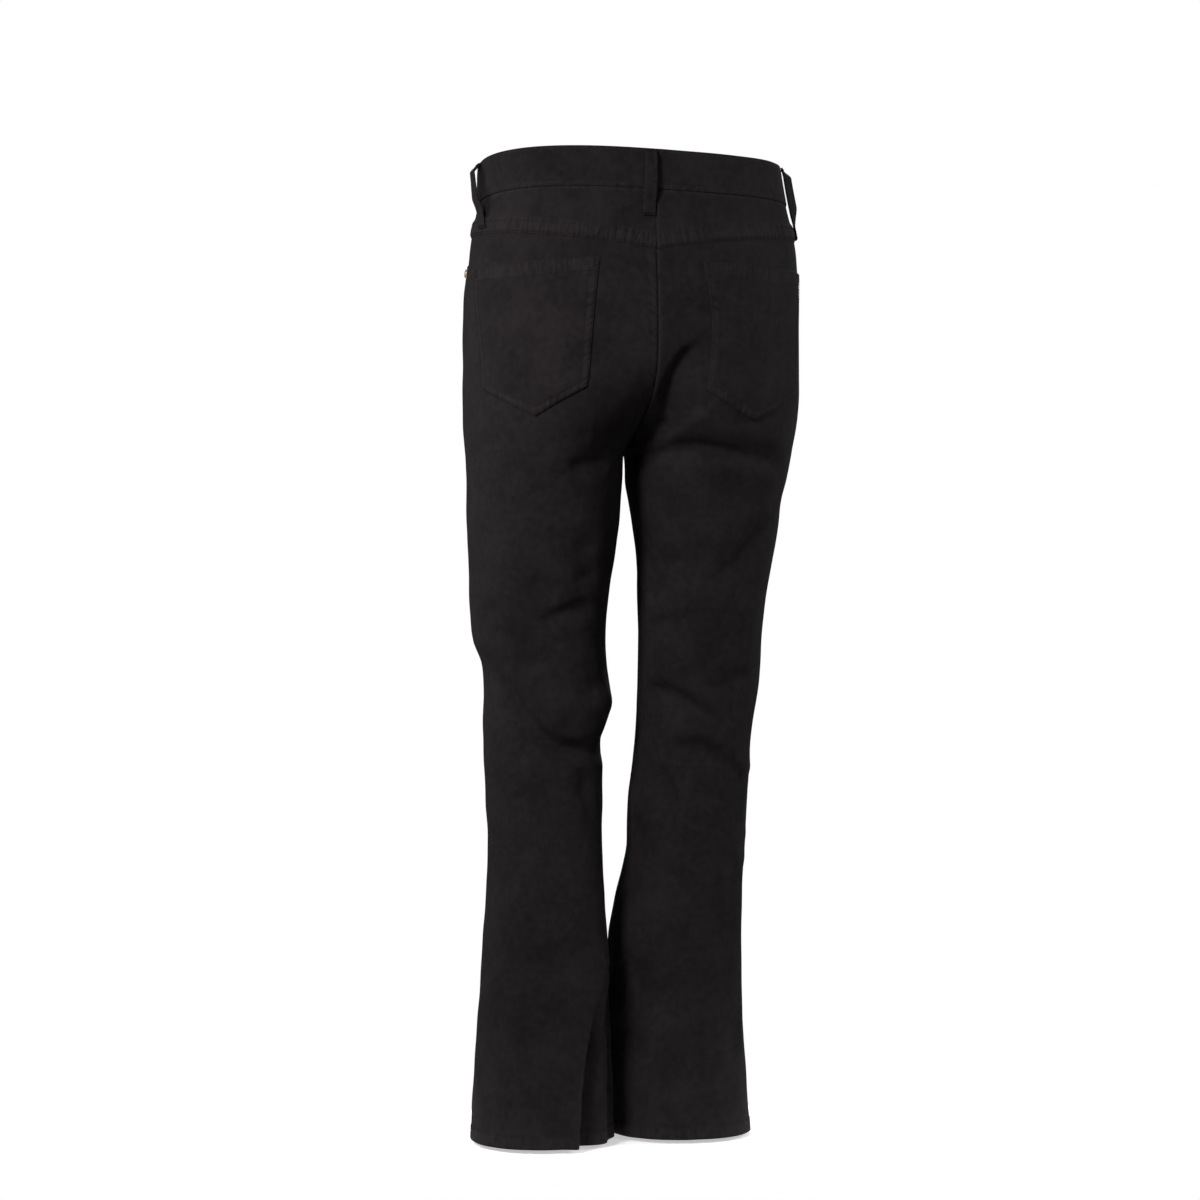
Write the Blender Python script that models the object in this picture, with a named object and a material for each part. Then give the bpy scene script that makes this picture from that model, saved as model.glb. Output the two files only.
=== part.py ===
"""Bootcut jeans in black stretch denim, standing open as they are worn, with nothing inside.

Metres, +Z up. The origin is the middle of the waist opening, at half the height of the waistband where
it crosses the side seams. The jeans face -Y, so the seat is at +Y and the wearer's left leg at +X.

Each trouser half is a tube of cloth. Its table gives, for a row of heights, how far the tube reaches
from the centre plane (outer, inner), where it ends in front and behind (front, back) and how square its
outline is from above (square; 2 is an ellipse). Above the fork the two tubes run into each other, and
each one is cut off at the centre seam. A place on a tube is a turn in degrees (0 at the hip, 90 at the
seat, 180 at the inseam, -90 at the front) and a height z.
"""

import bisect
import math
from collections import namedtuple

import bmesh
import bpy
from mathutils import Vector

# Main sizes
WALL = 0.0016            # denim, with the seam allowances inside it
SEAM_GAP = 0.0003        # between two pieces that are sewn together
LAY_GAP = 0.0005         # between a piece and what lies on it
FORK_Z = -0.261          # where the four leg panels meet
HEM_Z = -0.947           # bottom edge of both legs
HEM_DEPTH = 0.013
HEM_LIFT = 0.0005
SIDE_SEAM_TURN = -5.0
RISE_BLEND = 0.090       # over this height above the fork the panels' rows close up along the rise
BAND_HEIGHT = 0.040
BAND_WALL = 0.0030
BAND_LIFT = 0.0012       # the band's face stands this far outside the panels
BAND_TOP_FRONT = 0.000
BAND_TOP_SIDE = 0.020
BAND_TOP_BACK = 0.026
BAND_ROLL = 0.003        # behind, the band sits this much higher on the left and lower on the right
TUCK_START = 349.0       # degrees round the waist at which the band's hidden end begins to go under
TUCK_LENGTH = 6.5        # degrees over which it does
UNDERLAP_ROUND = 371.5   # degrees round the waist at which the hidden end stops
OVERLAP_ROUND = -2.3     # degrees round the waist at which its upper end starts
YOKE_WALL = 0.0014
YOKE_LAP = 0.013         # the yoke's lower edge lies on the back panel over this height
YOKE_RAMP = 0.007
YOKE_LOW_CENTRE = -0.073
YOKE_LOW_SIDE = -0.055
MOUTH_TURN = -38.0       # where the front pocket's mouth runs into the waistband
MOUTH_LOW_Z = -0.081     # where it meets the side seam
MOUTH_ROUNDNESS = 2.2
FRONT_RISE_TURN = -92.0  # roughly where the front panels meet under the waistband
FACING_WALL = 0.0012
FACING_REACH = 0.012     # hidden behind the front panel, past the mouth
FACING_GAP = 0.0017      # behind the front panel
FACING_TOP_GAP = 0.0005  # where it is sewn to the waistband
FACING_PAST = 5.0        # degrees that it reaches past the mouth
FACING_SEWN_ROW = 0.6    # from this share of its height it comes up to the band
FACING_SEWN_END = 0.84   # up to this share of its width
FACING_SEWN_FADE = 0.10
POCKET_GAP = 0.0009      # room for the folds under the pockets
POCKET_WALL = 0.0014
LOOP_WIDTH = 0.012
LOOP_WALL = 0.0018
LOOP_TOP_GAP = 0.0015    # the loop's upper end stops this far below the band's top edge
FLY_WALL = 0.0014
FLY_LAP = 0.006          # past the centre, over the wearer's right front
FLY_WIDTH = 0.036
FLY_LOW_Z = -0.185
FLY_CURVE = 0.040
BUTTON_ROUND = 3.8       # degrees round the waist
RIVET_BESIDE_SEAM = 3.5  # degrees from the side seam
RIVET_BELOW_MOUTH = 0.007
RIVET_BESIDE_MOUTH = 3.0
RIVET_BELOW_BAND = 0.008

Section = namedtuple("Section", "z outer inner front back square")

# The wearer's left half, from the waist to the hem.
LEFT_SECTIONS = [
    Section(0.034, 0.152, -0.150, -0.097, 0.099, 2.25),
    Section(0.020, 0.153, -0.151, -0.098, 0.101, 2.25),
    Section(-0.020, 0.155, -0.151, -0.102, 0.107, 2.25),
    Section(-0.047, 0.1605, -0.157, -0.106, 0.112, 2.25),
    Section(-0.073, 0.1635, -0.159, -0.108, 0.116, 2.25),
    Section(-0.113, 0.1685, -0.155, -0.110, 0.121, 2.25),
    Section(-0.153, 0.1695, -0.136, -0.110, 0.1235, 2.25),
    Section(-0.200, 0.1695, -0.068, -0.108, 0.1205, 2.20),
    Section(-0.230, 0.1688, -0.022, -0.106, 0.1130, 2.15),
    Section(-0.245, 0.1682, -0.003, -0.1045, 0.1075, 2.12),
    Section(-0.255, 0.1675, 0.0055, -0.103, 0.1035, 2.10),
    Section(-0.261, 0.167, 0.00795, -0.1022, 0.101, 2.10),
    Section(-0.294, 0.164, 0.0100, -0.098, 0.0905, 2.10),
    Section(-0.333, 0.164, 0.0135, -0.0935, 0.083, 2.10),
    Section(-0.373, 0.162, 0.0190, -0.089, 0.076, 2.10),
    Section(-0.413, 0.161, 0.0240, -0.084, 0.069, 2.10),
    Section(-0.453, 0.157, 0.0260, -0.080, 0.061, 2.05),
    Section(-0.475, 0.150, 0.0240, -0.078, 0.057, 2.05),
    Section(-0.512, 0.147, 0.0200, -0.076, 0.054, 2.05),
    Section(-0.552, 0.147, 0.0285, -0.073, 0.052, 2.05),
    Section(-0.612, 0.145, 0.0295, -0.069, 0.054, 2.05),
    Section(-0.652, 0.143, 0.0300, -0.068, 0.057, 2.05),
    Section(-0.731, 0.1475, 0.0265, -0.069, 0.062, 2.10),
    Section(-0.811, 0.1525, 0.0235, -0.072, 0.066, 2.15),
    Section(-0.891, 0.1575, 0.0220, -0.077, 0.069, 2.20),
    Section(-0.960, 0.1605, 0.0210, -0.080, 0.071, 2.20),
]

# The wearer's right half, measured towards the wearer's right. That leg stands a little in front.
RIGHT_SECTIONS = [
    Section(0.034, 0.148, -0.154, -0.097, 0.099, 2.25),
    Section(0.020, 0.149, -0.155, -0.098, 0.101, 2.25),
    Section(-0.020, 0.156, -0.150, -0.102, 0.107, 2.25),
    Section(-0.047, 0.162, -0.156, -0.106, 0.112, 2.25),
    Section(-0.073, 0.166, -0.157, -0.108, 0.116, 2.25),
    Section(-0.113, 0.1675, -0.154, -0.110, 0.121, 2.25),
    Section(-0.153, 0.1670, -0.136, -0.110, 0.1235, 2.25),
    Section(-0.200, 0.1670, -0.0694, -0.108, 0.1205, 2.20),
    Section(-0.230, 0.1658, -0.032, -0.106, 0.1130, 2.15),
    Section(-0.245, 0.1645, -0.0168, -0.1045, 0.1075, 2.12),
    Section(-0.255, 0.163, -0.0099, -0.103, 0.1035, 2.10),
    Section(-0.261, 0.162, -0.00765, -0.1022, 0.101, 2.10),
    Section(-0.292, 0.157, -0.0035, -0.099, 0.0895, 2.10),
    Section(-0.312, 0.153, 0.0015, -0.096, 0.083, 2.10),
    Section(-0.333, 0.151, 0.0055, -0.094, 0.078, 2.10),
    Section(-0.373, 0.145, 0.0102, -0.091, 0.070, 2.10),
    Section(-0.413, 0.139, 0.0118, -0.088, 0.062, 2.10),
    Section(-0.453, 0.136, 0.0132, -0.086, 0.055, 2.05),
    Section(-0.493, 0.134, 0.0125, -0.085, 0.049, 2.05),
    Section(-0.534, 0.128, 0.0110, -0.084, 0.045, 2.05),
    Section(-0.574, 0.125, 0.0080, -0.083, 0.043, 2.05),
    Section(-0.614, 0.123, 0.0025, -0.083, 0.042, 2.05),
    Section(-0.654, 0.120, 0.0020, -0.084, 0.041, 2.05),
    Section(-0.680, 0.119, -0.0020, -0.086, 0.041, 2.10),
    Section(-0.715, 0.118, -0.0100, -0.089, 0.041, 2.10),
    Section(-0.755, 0.118, -0.0165, -0.093, 0.041, 2.10),
    Section(-0.815, 0.119, -0.0180, -0.098, 0.041, 2.15),
    Section(-0.895, 0.124, -0.0165, -0.103, 0.041, 2.20),
    Section(-0.960, 0.128, -0.0145, -0.106, 0.041, 2.20),
]


class Fold(namedtuple("Fold", "turn_a z_a turn_b z_b bow width depth")):
    """A soft trough (depth below zero) or ridge from place a to place b. bow bends it upwards."""

    def height_at(self, turn, z, radius):
        around = math.radians((turn - self.turn_a + 180) % 360 - 180) * radius
        above = z - self.z_a
        run_around = math.radians(self.turn_b - self.turn_a) * radius
        run_above = self.z_b - self.z_a
        length = math.hypot(run_around, run_above)
        share = (around * run_around + above * run_above) / length**2
        if not -0.6 < share < 1.6:
            return 0.0
        near = min(max(share, 0.0), 1.0)
        past = (share - near) * length / self.width
        off = (above * run_around - around * run_above) / length
        off -= math.copysign(self.bow * 4 * near * (1 - near), run_around) if self.bow else 0.0
        spread = (off / self.width) ** 2
        taper = math.exp(-past * past) * (0.35 + 0.65 * math.sin(math.pi * near) ** 0.5)
        return self.depth * taper * (1 - 0.4 * spread) * math.exp(-0.5 * spread)


class Half:
    """One trouser half: its section table, its folds, and +1 for the wearer's left or -1 for the right."""

    def __init__(self, name, sign, sections, folds):
        self.name = name
        self.sign = sign
        self.folds = folds
        self.rows = sorted(sections)
        self.heights = [row.z for row in self.rows]
        self.slopes = [self.slope(i) for i in range(len(self.rows))]

    def slope(self, i):
        """The slope of every column at row i, limited so that the curve doesn't overshoot."""
        if i in (0, len(self.rows) - 1):
            return [0.0] * 6
        slopes = []
        for before, here, after in zip(self.rows[i - 1], self.rows[i], self.rows[i + 1]):
            down = (here - before) / (self.heights[i] - self.heights[i - 1])
            up = (after - here) / (self.heights[i + 1] - self.heights[i])
            slopes.append(2 * down * up / (down + up) if down * up > 0 else 0.0)
        return slopes

    def section(self, z):
        """The section at any height, on a smooth curve through the table's rows."""
        i = min(max(bisect.bisect_right(self.heights, z) - 1, 0), len(self.rows) - 2)
        span = self.heights[i + 1] - self.heights[i]
        t = min(max((z - self.heights[i]) / span, 0.0), 1.0)
        low = (1 + 2 * t) * (1 - t) ** 2
        high = t * t * (3 - 2 * t)
        low_slope = t * (1 - t) ** 2 * span
        high_slope = t * t * (t - 1) * span
        return Section(*(
            low * a + high * b + low_slope * sa + high_slope * sb
            for a, b, sa, sb in zip(self.rows[i], self.rows[i + 1], self.slopes[i], self.slopes[i + 1])
        ))

    def turn_at(self, distance, z):
        """The turn on the seat side of the point at this distance from the centre seam."""
        s = self.section(z)
        reach = (s.outer - s.inner) / 2
        share = (distance + self.sign * seam_x(z) - (s.outer + s.inner) / 2) / reach
        if share <= -1 or z <= FORK_Z:
            return 180 - math.degrees(distance / ((s.back - s.front) / 2))
        rise = (1 - min(abs(share), 1) ** s.square) ** (1 / s.square)
        return math.degrees(math.atan2(rise, share))

    def skin(self, turn, z):
        """The outside of the cloth, folds included."""
        s = self.section(z)
        angle = math.radians(turn)
        across, along = math.cos(angle), math.sin(angle)
        size = (abs(across) ** s.square + abs(along) ** s.square) ** (-1 / s.square)
        reach, depth = (s.outer - s.inner) / 2, (s.back - s.front) / 2
        x = (s.outer + s.inner) / 2 + reach * size * across
        y = (s.back + s.front) / 2 + depth * size * along
        lift = sum(fold.height_at(turn, z, (reach + depth) / 2) for fold in self.folds)
        if z > FORK_Z - 0.02:
            lift *= smooth((x - self.sign * seam_x(z)) / 0.014)
        if z < HEM_Z + HEM_DEPTH:
            lift += HEM_LIFT
        out = Vector((across / reach, along / depth)).normalized()
        return Vector((self.sign * (x + lift * out.x), y + lift * out.y, z))

    def lifted(self, turn, z, lift):
        """The point this far outside the skin, or inside it where lift is below zero."""
        round_it = self.skin(turn + 0.5, z) - self.skin(turn - 0.5, z)
        up = self.skin(turn, z + 0.001) - self.skin(turn, z - 0.001)
        return self.skin(turn, z) + round_it.cross(up).normalized() * self.sign * lift


def smooth(t):
    t = min(max(t, 0.0), 1.0)
    return t * t * (3 - 2 * t)


def mix(a, b, t):
    return a + (b - a) * t


def seam_x(z):
    """Where the centre seam runs. Just above the fork it leans towards the wearer's left leg."""
    return 0.0078 * smooth((-0.185 - z) / 0.076)


# The largest folds that the photo shows, and like ones on the hidden front.
LEFT_FOLDS = [
    Fold(26, -0.472, 102, -0.556, -0.006, 0.012, -0.0070),
    Fold(102, -0.555, 167, -0.550, -0.002, 0.011, -0.0060),
    Fold(126, -0.506, 160, -0.516, 0.000, 0.014, 0.0040),
    Fold(82, -0.431, 127, -0.416, 0.000, 0.010, -0.0035),
    Fold(62, -0.430, 77, -0.498, 0.000, 0.011, -0.0030),
    Fold(113, -0.352, 116, -0.394, 0.000, 0.012, -0.0025),
    Fold(94, -0.284, 126, -0.272, 0.000, 0.012, -0.0030),
    Fold(128, -0.568, 131, -0.630, 0.000, 0.012, -0.0030),
    Fold(110, -0.955, 138, -0.765, -0.006, 0.015, 0.0060),
    Fold(155, -0.955, 172, -0.790, 0.000, 0.016, -0.0100),
    Fold(-70, -0.478, -125, -0.462, 0.004, 0.013, -0.0035),
    Fold(-60, -0.560, -120, -0.545, -0.004, 0.014, -0.0030),
    Fold(-120, -0.235, -62, -0.205, 0.006, 0.012, -0.0030),
]
RIGHT_FOLDS = [
    Fold(80, -0.166, 150, -0.249, 0.002, 0.011, -0.0075),
    Fold(96, -0.218, 150, -0.256, 0.000, 0.010, 0.0035),
    Fold(150, -0.268, 47, -0.277, 0.008, 0.010, -0.0060),
    Fold(162, -0.498, 82, -0.530, 0.006, 0.011, -0.0065),
    Fold(127, -0.556, 60, -0.572, 0.005, 0.010, -0.0035),
    Fold(50, -0.325, 83, -0.388, 0.000, 0.014, -0.0030),
    Fold(146, -0.574, 116, -0.632, 0.000, 0.013, -0.0030),
    Fold(160, -0.755, 114, -0.818, 0.000, 0.014, -0.0030),
    Fold(-70, -0.492, -125, -0.478, 0.004, 0.013, -0.0035),
    Fold(-60, -0.575, -118, -0.560, -0.004, 0.014, -0.0030),
    Fold(-118, -0.240, -62, -0.212, 0.006, 0.012, -0.0030),
]
LEFT = Half("left", 1, LEFT_SECTIONS, LEFT_FOLDS)
RIGHT = Half("right", -1, RIGHT_SECTIONS, RIGHT_FOLDS)


def round_waist(degrees, z, lift):
    """A point on the hips or the waist: 0 at the centre front, 90 at the wearer's left, 180 behind."""
    degrees %= 360
    half = LEFT if degrees <= 180 else RIGHT
    edge = half.turn_at(0.0, z)
    share = min(degrees, 360 - degrees) / 180
    return half.lifted(mix(-edge, edge, share), z, lift)


def band_top(degrees):
    """Height of the waistband's top edge, highest at the centre back."""
    tilt = (BAND_TOP_FRONT - BAND_TOP_BACK) / 2
    middle = (BAND_TOP_FRONT + BAND_TOP_BACK) / 2
    bend = (middle - BAND_TOP_SIDE) / 2
    angle = math.radians(degrees)
    roll = -BAND_ROLL * math.sin(2 * angle) * (1 - math.cos(angle)) / 2
    return middle - bend + tilt * math.cos(angle) + bend * math.cos(2 * angle) + roll


def under_band(half, turn):
    """Height at which a panel stops below the waistband."""
    return band_top(half.sign * (90 + turn)) - BAND_HEIGHT - SEAM_GAP


# The scene's contents
for old in list(bpy.data.objects):
    bpy.data.objects.remove(old)
jeans = bpy.data.collections.new("bootcut_jeans")
bpy.context.scene.collection.children.link(jeans)


def finish(name, colour, roughness, metallic=0.0):
    made = bpy.data.materials.new(name)
    made.use_nodes = True
    shader = made.node_tree.nodes["Principled BSDF"]
    shader.inputs["Base Color"].default_value = (*colour, 1.0)
    shader.inputs["Roughness"].default_value = roughness
    shader.inputs["Metallic"].default_value = metallic
    return made


def add_object(name, bm, look):
    mesh = bpy.data.meshes.new(name)
    bm.to_mesh(mesh)
    bm.free()
    mesh.materials.append(look)
    made = bpy.data.objects.new(name, mesh)
    jeans.objects.link(made)
    return made


def cloth(name, columns, rows, place, look, mirrored=False):
    """A closed sheet of cloth. place(column, row, inside) gives its outer and inner points."""
    bm = bmesh.new()
    wide, tall = len(columns) - 1, len(rows) - 1
    for inside in (False, True):
        bmesh.ops.create_grid(bm, x_segments=wide, y_segments=tall, size=0.5)
        grid = [vert for vert in bm.verts if not vert.tag]
        for vert in grid:
            column = columns[round((vert.co.x + 0.5) * wide)]
            row = rows[round((vert.co.y + 0.5) * tall)]
            vert.co = place(column, row, inside)
            vert.tag = True
        if inside != mirrored:
            faces = {face for vert in grid for face in vert.link_faces}
            bmesh.ops.reverse_faces(bm, faces=list(faces))
    rims = [edge for edge in bm.edges if edge.is_boundary]
    bmesh.ops.bridge_loops(bm, edges=rims)
    return add_object(name, bm, look)


def steps(start, end, count):
    return [mix(start, end, i / count) for i in range(count + 1)]


denim = finish("black_denim", (0.016, 0.0145, 0.016), 0.85)
brass = finish("aged_brass", (0.42, 0.33, 0.22), 0.38, 1.0)

# Leg panels: rows stand close where folds cross them and where the fork turns.
LEG_ROWS = [
    HEM_Z, HEM_Z + HEM_DEPTH - 0.0008, HEM_Z + HEM_DEPTH + 0.0008, -0.894, -0.850, -0.806, -0.762,
    -0.722, -0.684, -0.648, -0.614, -0.585, -0.562, -0.544, -0.528, -0.513, -0.498,
    -0.482, -0.463, -0.439, -0.410, -0.378, -0.346, -0.318, -0.299, -0.286, -0.277, -0.269, FORK_Z,
]
SEAT_ROWS = [-0.2603, -0.2582, -0.2545, -0.2485, -0.240, -0.228, -0.212, -0.193, -0.170, -0.145]
TOP_START = SEAT_ROWS[-1]
TOP_ROWS = ["top 0.22", "top 0.43", "top 0.63", "top 0.82", "top 1.00"]


def yoke_low(share):
    """Height of the yoke's lower edge. share is 0 at the side seam and 1 at the centre."""
    return mix(YOKE_LOW_SIDE, YOKE_LOW_CENTRE, share * share)


def mouth_height(half, turn):
    """Height of the front panel's top edge: the pocket's mouth, then the waistband."""
    top = under_band(half, turn)
    share = (turn - SIDE_SEAM_TURN) / (MOUTH_TURN - SIDE_SEAM_TURN)
    if share >= 1:
        return top
    drop = (1 - max(share, 0.0) ** MOUTH_ROUNDNESS) ** (1 / MOUTH_ROUNDNESS)
    return mix(top, MOUTH_LOW_Z, drop)


def side_seam(half, z, side):
    """The turn at which a piece stops at the side seam. side is 1 behind the seam, -1 in front."""
    section = half.section(z)
    return SIDE_SEAM_TURN + side * math.degrees(SEAM_GAP / (section.outer - section.inner))


def leg_panel(half, at_back):
    """One leg panel. Columns are shares of the way from the side seam to the inseam or the rise."""
    side = 1 if at_back else -1

    def place(column, row, inside):
        if isinstance(row, str):
            if at_back:
                top = yoke_low(column) + YOKE_LAP - 0.001
            else:
                    top = mouth_height(half, mix(SIDE_SEAM_TURN, FRONT_RISE_TURN, column))
            z = mix(TOP_START, top, float(row.split()[1]))
        else:
            z = row
        turn = mix(side_seam(half, z, side), side * 180, column)
        near_rise = mix(column**4, column, smooth((z - FORK_Z) / RISE_BLEND))
        turn += side * (half.turn_at(SEAM_GAP / 2, z) - 180) * near_rise
        wall = WALL + (0.001 if z < HEM_Z + HEM_DEPTH else 0.0)
        return half.lifted(turn, z, -wall if inside else 0.0)

    if at_back:
        columns = steps(0, 1, 20)
    else:
        mouth_end = (MOUTH_TURN - SIDE_SEAM_TURN) / (FRONT_RISE_TURN - SIDE_SEAM_TURN)
        columns = [share * mouth_end for share in (0, 0.25, 0.48, 0.68, 0.84, 0.95)]
        columns += steps(mouth_end, 1, 9)
    name = f"{'back' if at_back else 'front'}_panel_{half.name}"
    return cloth(name, columns, LEG_ROWS + SEAT_ROWS + TOP_ROWS, place, denim, half.sign * side < 0)


# Yokes: the lower edge lies on the back panel, the rest is level with it.
def yoke(half):
    ramp_top = YOKE_LAP + YOKE_RAMP

    def place(column, row, inside):
        low = yoke_low(column)
        top = under_band(half, mix(SIDE_SEAM_TURN, 90, column))
        z = low + row if row <= ramp_top else mix(low + ramp_top, top, row - 1)
        turn = mix(side_seam(half, z, 1), half.turn_at(SEAM_GAP / 2, z), column)
        lap = smooth((ramp_top - (z - low)) / YOKE_RAMP) * (LAY_GAP + YOKE_WALL)
        return half.lifted(turn, z, lap - (YOKE_WALL if inside else 0.0))

    rows = [0.0, YOKE_LAP, YOKE_LAP + YOKE_RAMP / 2, ramp_top, 1.33, 1.67, 2.0]
    return cloth(f"yoke_{half.name}", steps(0, 1, 14), rows, place, denim, half.sign < 0)


# Back pockets: five-sided, lying on the back panels. The inner edge is given by its distance from the
# centre seam, which bulges by inner_bend halfway down, the outer edge by its turn, the point by its
# share of the way across.
Pocket = namedtuple(
    "Pocket", "inner_top inner_low inner_bend outer_top outer_low tip z_inner z_outer z_low z_tip"
)
LEFT_POCKET = Pocket(0.0560, 0.0685, 0.0015, 14, 26, 0.58, -0.082, -0.0895, -0.207, -0.235)
RIGHT_POCKET = Pocket(0.0455, 0.0490, 0.0060, 20, 34, 0.50, -0.085, -0.0875, -0.208, -0.237)


def back_pocket(half, pocket):
    def place(column, row, inside):
        tip = min(column / pocket.tip, (1 - column) / (1 - pocket.tip))
        low = mix(pocket.z_low, pocket.z_tip, tip)
        z = mix(low, mix(pocket.z_outer, pocket.z_inner, column), row)
        height = (z - pocket.z_low) / (pocket.z_inner - pocket.z_low)
        bulge = pocket.inner_bend * 4 * height * (1 - height)
        inner = half.turn_at(mix(pocket.inner_low, pocket.inner_top, height) + bulge, z)
        outer = mix(pocket.outer_low, pocket.outer_top, height)
        return half.lifted(mix(outer, inner, column), z, POCKET_GAP + (0.0 if inside else POCKET_WALL))

    columns = steps(0, pocket.tip, 6) + steps(pocket.tip, 1, 6)[1:]
    return cloth(f"back_pocket_{half.name}", columns, steps(0, 1, 10), place, denim, half.sign < 0)


# Front pocket facings: what shows inside the curved mouths, a little deeper than the panels.
def pocket_facing(half):
    def place(column, row, inside):
        turn = mix(side_seam(half, MOUTH_LOW_Z, -1), MOUTH_TURN - FACING_PAST, column)
        top = under_band(half, turn)
        drop = (1 - column**3) ** (1 / 3)
        z = mix(mix(top, MOUTH_LOW_Z - FACING_REACH, drop), top, row)
        sewn = smooth((row - FACING_SEWN_ROW) / (1 - FACING_SEWN_ROW))
        sewn *= smooth((FACING_SEWN_END - column) / FACING_SEWN_FADE)
        lift = -WALL - mix(FACING_GAP, FACING_TOP_GAP, sewn) - (FACING_WALL if inside else 0.0)
        return half.lifted(turn, z, lift)

    name = f"pocket_facing_{half.name}"
    return cloth(name, steps(0, 0.97, 10), steps(0, 1, 6), place, denim, half.sign > 0)


# Fly: closed, its folded edge just past the centre, its other edge rounded off like a J.
def fly():
    def place(column, row, inside):
        x = mix(-FLY_LAP, FLY_WIDTH, column)
        bend = 1 - math.sqrt(1 - max(x / FLY_WIDTH, 0.0) ** 2)
        z = mix(FLY_LOW_Z + FLY_CURVE * bend, under_band(LEFT, -90), row)
        half = LEFT if x > 0 else RIGHT
        return half.lifted(-half.turn_at(abs(x), z), z, LAY_GAP + (0.0 if inside else FLY_WALL))

    return cloth("fly", [0, 0.15, 0.35, 0.58, 0.78, 0.92, 1], steps(0, 1, 10), place, denim)


# Waistband: one strip right round, its right end going under its left end at the front.
def waistband():
    def place(column, row, inside):
        tuck = smooth((column - TUCK_START) / TUCK_LENGTH) * (BAND_WALL + LAY_GAP)
        lift = BAND_LIFT - tuck - (BAND_WALL if inside else 0.0)
        return round_waist(column, band_top(column) - BAND_HEIGHT * (1 - row), lift)

    tucked = [TUCK_START + TUCK_LENGTH * share for share in (0, 0.34, 0.66, 1)]
    columns = [OVERLAP_ROUND, 3] + steps(9, 345, 42) + tucked + [360, 365, UNDERLAP_ROUND]
    return cloth("waistband", columns, steps(0, 1, 3), place, denim)


# Belt loops: flat at both ends and standing off the waistband between them.
Loop = namedtuple("Loop", "name low_degrees top_degrees low_z lap")
LOOPS = [
    Loop("belt_loop_centre_back", 177.5, 178.7, -0.041, 0.0),
    Loop("belt_loop_side_left", 108, 92.5, -0.049, LAY_GAP + YOKE_WALL),
    Loop("belt_loop_side_right", 262, 262, -0.052, LAY_GAP + YOKE_WALL),
    Loop("belt_loop_front_left", 22, 22, -0.063, 0.0),
    Loop("belt_loop_front_right", 338, 338, -0.063, 0.0),
]
LoopPoint = namedtuple("LoopPoint", "share stand")
LOOP_CURVE = [
    LoopPoint(0.00, 0.0000),
    LoopPoint(0.11, 0.0001),
    LoopPoint(0.22, 0.0023),
    LoopPoint(0.34, 0.0056),
    LoopPoint(0.48, 0.0071),
    LoopPoint(0.70, 0.0071),
    LoopPoint(0.84, 0.0054),
    LoopPoint(0.94, 0.0014),
    LoopPoint(1.00, 0.0000),
]


def belt_loop(loop):
    top = band_top(loop.top_degrees) - LOOP_TOP_GAP
    step = round_waist(loop.top_degrees + 1, top, 0.0) - round_waist(loop.top_degrees - 1, top, 0.0)

    def place(column, point, inside):
        rest = mix(loop.lap, BAND_LIFT, smooth((point.share - 0.12) / 0.25))
        lift = rest + LAY_GAP + point.stand + (0.0 if inside else LOOP_WALL)
        degrees = mix(loop.low_degrees, loop.top_degrees, point.share)
        degrees += column * LOOP_WIDTH / (step.length / 2)
        return round_waist(degrees, mix(loop.low_z, top, point.share), lift)

    return cloth(loop.name, [-0.5, 0.0, 0.5], LOOP_CURVE, place, denim)


# Button and rivets: turned from a profile of radius and height, lying on the cloth.
Turned = namedtuple("Turned", "radius height")
BUTTON = [
    Turned(0.0, 0.0), Turned(0.0070, 0.0), Turned(0.0085, 0.0008), Turned(0.0085, 0.0020),
    Turned(0.0074, 0.0029), Turned(0.0060, 0.0023), Turned(0.0, 0.0026),
]
RIVET = [
    Turned(0.0, 0.0), Turned(0.0045, 0.0), Turned(0.0042, 0.0009),
    Turned(0.0022, 0.0016), Turned(0.0, 0.0018),
]


def turned_piece(name, profile, sides, foot, above):
    """A turned metal piece standing at foot, its axis towards above."""
    bm = bmesh.new()
    axis = (above - foot).normalized()
    across = axis.orthogonal().normalized()
    verts = [bm.verts.new(foot + across * p.radius + axis * p.height) for p in profile]
    edges = [bm.edges.new(pair) for pair in zip(verts, verts[1:])]
    bmesh.ops.spin(bm, geom=verts + edges, cent=foot, axis=axis, angle=math.tau, steps=sides)
    bmesh.ops.remove_doubles(bm, verts=bm.verts, dist=0.00005)
    bmesh.ops.recalc_face_normals(bm, faces=bm.faces)
    return add_object(name, bm, brass)


def rivet(half, where, turn, z):
    base = LAY_GAP
    name = f"rivet_{half.name}_{where}"
    return turned_piece(name, RIVET, 12, half.lifted(turn, z, base), half.lifted(turn, z, base + 0.01))


for half, pocket in ((LEFT, LEFT_POCKET), (RIGHT, RIGHT_POCKET)):
    leg_panel(half, at_back=True)
    leg_panel(half, at_back=False)
    yoke(half)
    back_pocket(half, pocket)
    pocket_facing(half)
    rivet(half, "side", SIDE_SEAM_TURN - RIVET_BESIDE_SEAM, MOUTH_LOW_Z - RIVET_BELOW_MOUTH)
    rivet(half, "top", MOUTH_TURN - RIVET_BESIDE_MOUTH, under_band(half, MOUTH_TURN) - RIVET_BELOW_BAND)
fly()
waistband()
for loop in LOOPS:
    belt_loop(loop)
button_z = band_top(BUTTON_ROUND) - BAND_HEIGHT / 2
button_lift = BAND_LIFT + LAY_GAP
turned_piece(
    "button", BUTTON, 20,
    round_waist(BUTTON_ROUND, button_z, button_lift),
    round_waist(BUTTON_ROUND, button_z, button_lift + 0.01),
)
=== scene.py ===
import math
from collections import namedtuple

import bmesh
import bpy
import numpy as np
from mathutils import Matrix, Vector


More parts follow.
